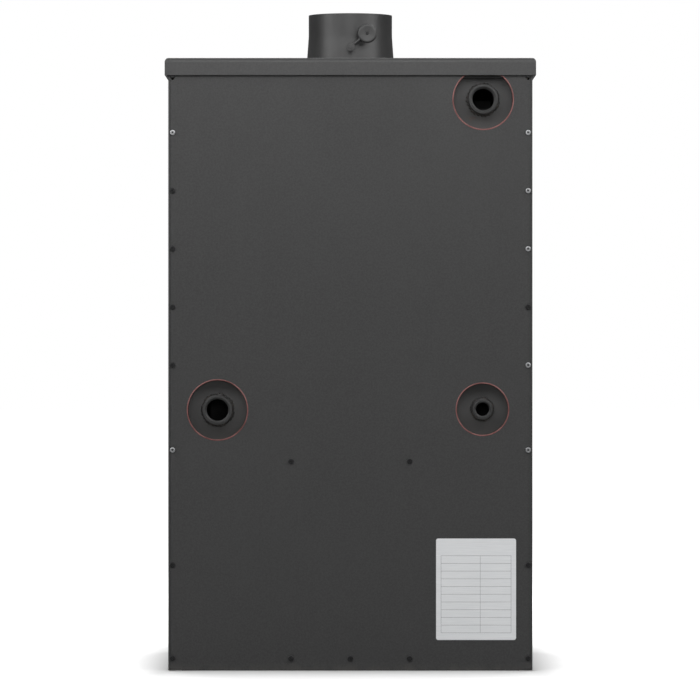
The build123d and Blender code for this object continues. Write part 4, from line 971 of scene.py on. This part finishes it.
def grip_ferrules():
    """Steel rings at both ends of the wooden grip."""
    low, high = corners("door_handle_grip")
    centre = ((low.x + high.x) / 2, (low.y + high.y) / 2)
    shape = bmesh.new()
    for z0, z1 in ((low.z, low.z + 4), (high.z - 4, high.z)):
        lathe(shape, [(5.2, z0), (7.3, z0), (7.7, z0 + 0.5), (7.7, z1 - 0.5), (7.3, z1), (5.2, z1)],
              centre, "Z", 40)
    finish_piece("door_grip_ferrules", shape, "handle_steel", "door_handle")


# Thermometer dial
# How far the needle's pivot stands out of the dial, and half the thickness of the print
PIVOT_STAND = 1.9
DIAL_PRINT = 0.03
DIAL_FACE = dial_front + PIVOT_STAND
NUMBER_RADIUS = 8.4
FIRST_TICK = 225.0
TICK_SWEEP = 270.0
TICK_COUNT = 25


def dial_turn(index):
    """The angle of one tick, counted from the lowest value."""
    return radians(FIRST_TICK - TICK_SWEEP * index / (TICK_COUNT - 1))


def dial_number(shape, index, words):
    """Adds one number of the scale to a bmesh."""
    curve = bpy.data.curves.new("number", "FONT")
    curve.body = words
    curve.size = 3.4 * MM
    curve.align_x = "CENTER"
    curve.align_y = "CENTER"
    curve.extrude = DIAL_PRINT * MM
    written = bpy.data.objects.new("number", curve)
    bpy.context.scene.collection.objects.link(written)
    depsgraph = bpy.context.evaluated_depsgraph_get()
    flat = bpy.data.meshes.new_from_object(written.evaluated_get(depsgraph))
    bpy.data.objects.remove(written)
    bpy.data.curves.remove(curve)
    turn = dial_turn(index)
    spot = Vector((dial_middle.x + NUMBER_RADIUS * cos(turn), DIAL_FACE - DIAL_PRINT,
                   dial_middle.z + NUMBER_RADIUS * sin(turn)))
    flat.transform(Matrix.Translation(spot * MM) @ Matrix.Rotation(radians(90), 4, "X"))
    shape.from_mesh(flat)
    bpy.data.meshes.remove(flat)


def dial_print():
    """Scale ticks and plain numbers, raised by the thickness of the print."""
    shape = bmesh.new()
    for index in range(TICK_COUNT):
        long = index % 4 == 0
        inner, outer = (11.0 if long else 12.4), 14.0
        width = 0.5 if long else 0.28
        centre = Vector((dial_middle.x, DIAL_FACE - DIAL_PRINT, dial_middle.z))
        place = (Matrix.Translation(centre * MM) @ Matrix.Rotation(-dial_turn(index), 4, "Y")
                 @ Matrix.Translation(Vector(((inner + outer) / 2, 0, 0)) * MM)
                 @ Matrix.Diagonal(((outer - inner) * MM, 2 * DIAL_PRINT * MM, width * MM, 1.0)))
        bmesh.ops.create_cube(shape, size=1.0, matrix=place)
    for index, words in ((0, "0"), (8, "40"), (16, "80"), (24, "120")):
        dial_number(shape, index, words)
    finish_piece("thermometer_scale", shape, "gauge_face", "stove_body", "gauge_print", False)


door_dressing()
drawer_dressing()
grip_ferrules()
dial_print()


# Floor, light and camera
# The stove's foot on the floor, in metres
FOOT_HALF_WIDTH = foot_high.x * MM
FOOT_HALF_DEPTH = (foot_high.y - foot_low.y) / 2 * MM
FOOT_MIDDLE = (foot_high.y + foot_low.y) / 2 * MM
# The painted shadow's reach round the foot in metres, how it fades, and how much shorter it is at the
# sides
SHADOW_REACH = 0.24
SHADOW_CURVE = 0.7
SIDE_TIGHTNESS = 4.0
# How bright the floor is where the painted shadow ends, and how fast it turns white from there
NEAR_GLOW = 0.6
FAR_GLOW_RISE = 0.8
# White for the camera, but only this bright for everything else
SURROUND_LEVEL = 0.1
REAR_WATTS = 29.0
FILL_WATTS = 12.0
SIDE_WATTS = 8.5
OVERHEAD_WATTS = 14.0
FRONT_WATTS = 40.0


def softbox(name, place, target, width, height, watts):
    """A rectangular lamp that faces a target."""
    lamp = bpy.data.lights.new(name, "AREA")
    lamp.shape = "RECTANGLE"
    lamp.size = width
    lamp.size_y = height
    lamp.energy = watts
    holder = bpy.data.objects.new(name, lamp)
    holder.location = place
    holder.rotation_euler = (Vector(target) - Vector(place)).to_track_quat("-Z", "Y").to_euler()
    bpy.context.scene.collection.objects.link(holder)
    return holder


def studio_floor():
    """A pale floor that keeps the lamps' shadow, with a painted shadow round the foot where its glow is
    dimmed, and turns white away from the stove.
    """
    shape = bmesh.new()
    bmesh.ops.create_grid(shape, x_segments=1, y_segments=1, size=30.0)
    mesh = bpy.data.meshes.new("studio_floor")
    shape.to_mesh(mesh)
    shape.free()
    floor = bpy.data.objects.new("studio_floor", mesh)
    bpy.context.scene.collection.objects.link(floor)
    paint = bpy.data.materials.new("studio_floor")
    paint.use_nodes = True
    tree = paint.node_tree
    shader = tree.nodes["Principled BSDF"]
    shader.inputs["Base Color"].default_value = (0.5, 0.5, 0.5, 1.0)
    shader.inputs["Roughness"].default_value = 0.9
    shader.inputs["Emission Color"].default_value = (1.0, 1.0, 1.0, 1.0)
    place = tree.nodes.new("ShaderNodeTexCoord")
    split = tree.nodes.new("ShaderNodeSeparateXYZ")
    tree.links.new(place.outputs["Object"], split.inputs["Vector"])
    squares = []
    sides = (("X", 0.0, FOOT_HALF_WIDTH, SIDE_TIGHTNESS), ("Y", FOOT_MIDDLE, FOOT_HALF_DEPTH, 1.0))
    for letter, centre, half, tightness in sides:
        outside = calculate(tree, "SUBTRACT", split.outputs[letter], centre)
        outside = calculate(tree, "ABSOLUTE", outside, 0.0)
        outside = calculate(tree, "SUBTRACT", outside, half)
        outside = calculate(tree, "MAXIMUM", calculate(tree, "MULTIPLY", outside, tightness), 0.0)
        squares.append(calculate(tree, "MULTIPLY", outside, outside))
    # The glow seen by the camera is dimmed near the foot: a painted shadow
    away = calculate(tree, "SQRT", calculate(tree, "ADD", *squares), 0.0)
    fade = calculate(tree, "DIVIDE", away, SHADOW_REACH)
    fade = calculate(tree, "MINIMUM", calculate(tree, "POWER", fade, SHADOW_CURVE), 1.0)
    near_glow = calculate(tree, "MULTIPLY", fade, NEAR_GLOW)
    rise = calculate(tree, "MINIMUM", calculate(tree, "MULTIPLY", away, FAR_GLOW_RISE), 1.0)
    glow = calculate(tree, "ADD", near_glow, calculate(tree, "MULTIPLY", rise, 1.0 - NEAR_GLOW))
    rays = tree.nodes.new("ShaderNodeLightPath")
    glow = calculate(tree, "MULTIPLY", rays.outputs["Is Camera Ray"], glow)
    tree.links.new(glow, shader.inputs["Emission Strength"])
    mesh.materials.append(paint)


def studio_surroundings():
    """White for the camera, dim for the light that falls on the stove."""
    world = bpy.data.worlds.new("studio")
    bpy.context.scene.world = world
    world.use_nodes = True
    tree = world.node_tree
    background = tree.nodes["Background"]
    background.inputs["Color"].default_value = (1.0, 1.0, 1.0, 1.0)
    rays = tree.nodes.new("ShaderNodeLightPath")
    level = tree.nodes.new("ShaderNodeMapRange")
    level.inputs["To Min"].default_value = SURROUND_LEVEL
    level.inputs["To Max"].default_value = 1.0
    tree.links.new(rays.outputs["Is Camera Ray"], level.inputs["Value"])
    tree.links.new(level.outputs["Result"], background.inputs["Strength"])


def studio_lamps():
    """A wide lamp above the camera's line, weaker ones at the sides, overhead and at the front."""
    for lamp in (
        softbox("rear_key", (0.0, 1.5, 1.5), (0, 0.26, 0.75), 3.4, 0.8, REAR_WATTS),
        softbox("rear_left", (-1.3, 0.8, 1.25), (0, 0.26, 0.7), 0.7, 1.2, SIDE_WATTS),
        softbox("rear_right", (1.3, 0.8, 1.25), (0, 0.26, 0.7), 0.7, 1.2, SIDE_WATTS),
        softbox("overhead", (0.0, 0.2, 3.2), (0, 0.1, 0), 2.6, 2.6, OVERHEAD_WATTS),
        softbox("rear_fill", (0.0, 5.2, 1.0), (0, 0.26, 0.45), 1.2, 0.6, FILL_WATTS),
        softbox("front_left", (-1.0, -1.9, 2.5), (0, -0.2, 0.4), 1.4, 1.2, FRONT_WATTS),
        softbox("front_right", (1.0, -1.9, 2.4), (0, -0.2, 0.4), 1.2, 1.2, FRONT_WATTS),
    ):
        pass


studio_floor()
studio_surroundings()
studio_lamps()

# The picture's camera: level, straight behind the stove, seven metres from the back panel
camera_data = bpy.data.cameras.new("camera")
camera_data.lens = 257.1
camera = bpy.data.objects.new("camera", camera_data)
camera.location = (0.0005, 7.26, 0.449)
camera.rotation_euler = (radians(90), 0.0, radians(180))
bpy.context.scene.collection.objects.link(camera)
bpy.context.scene.camera = camera
bpy.context.scene.view_settings.view_transform = "Standard"
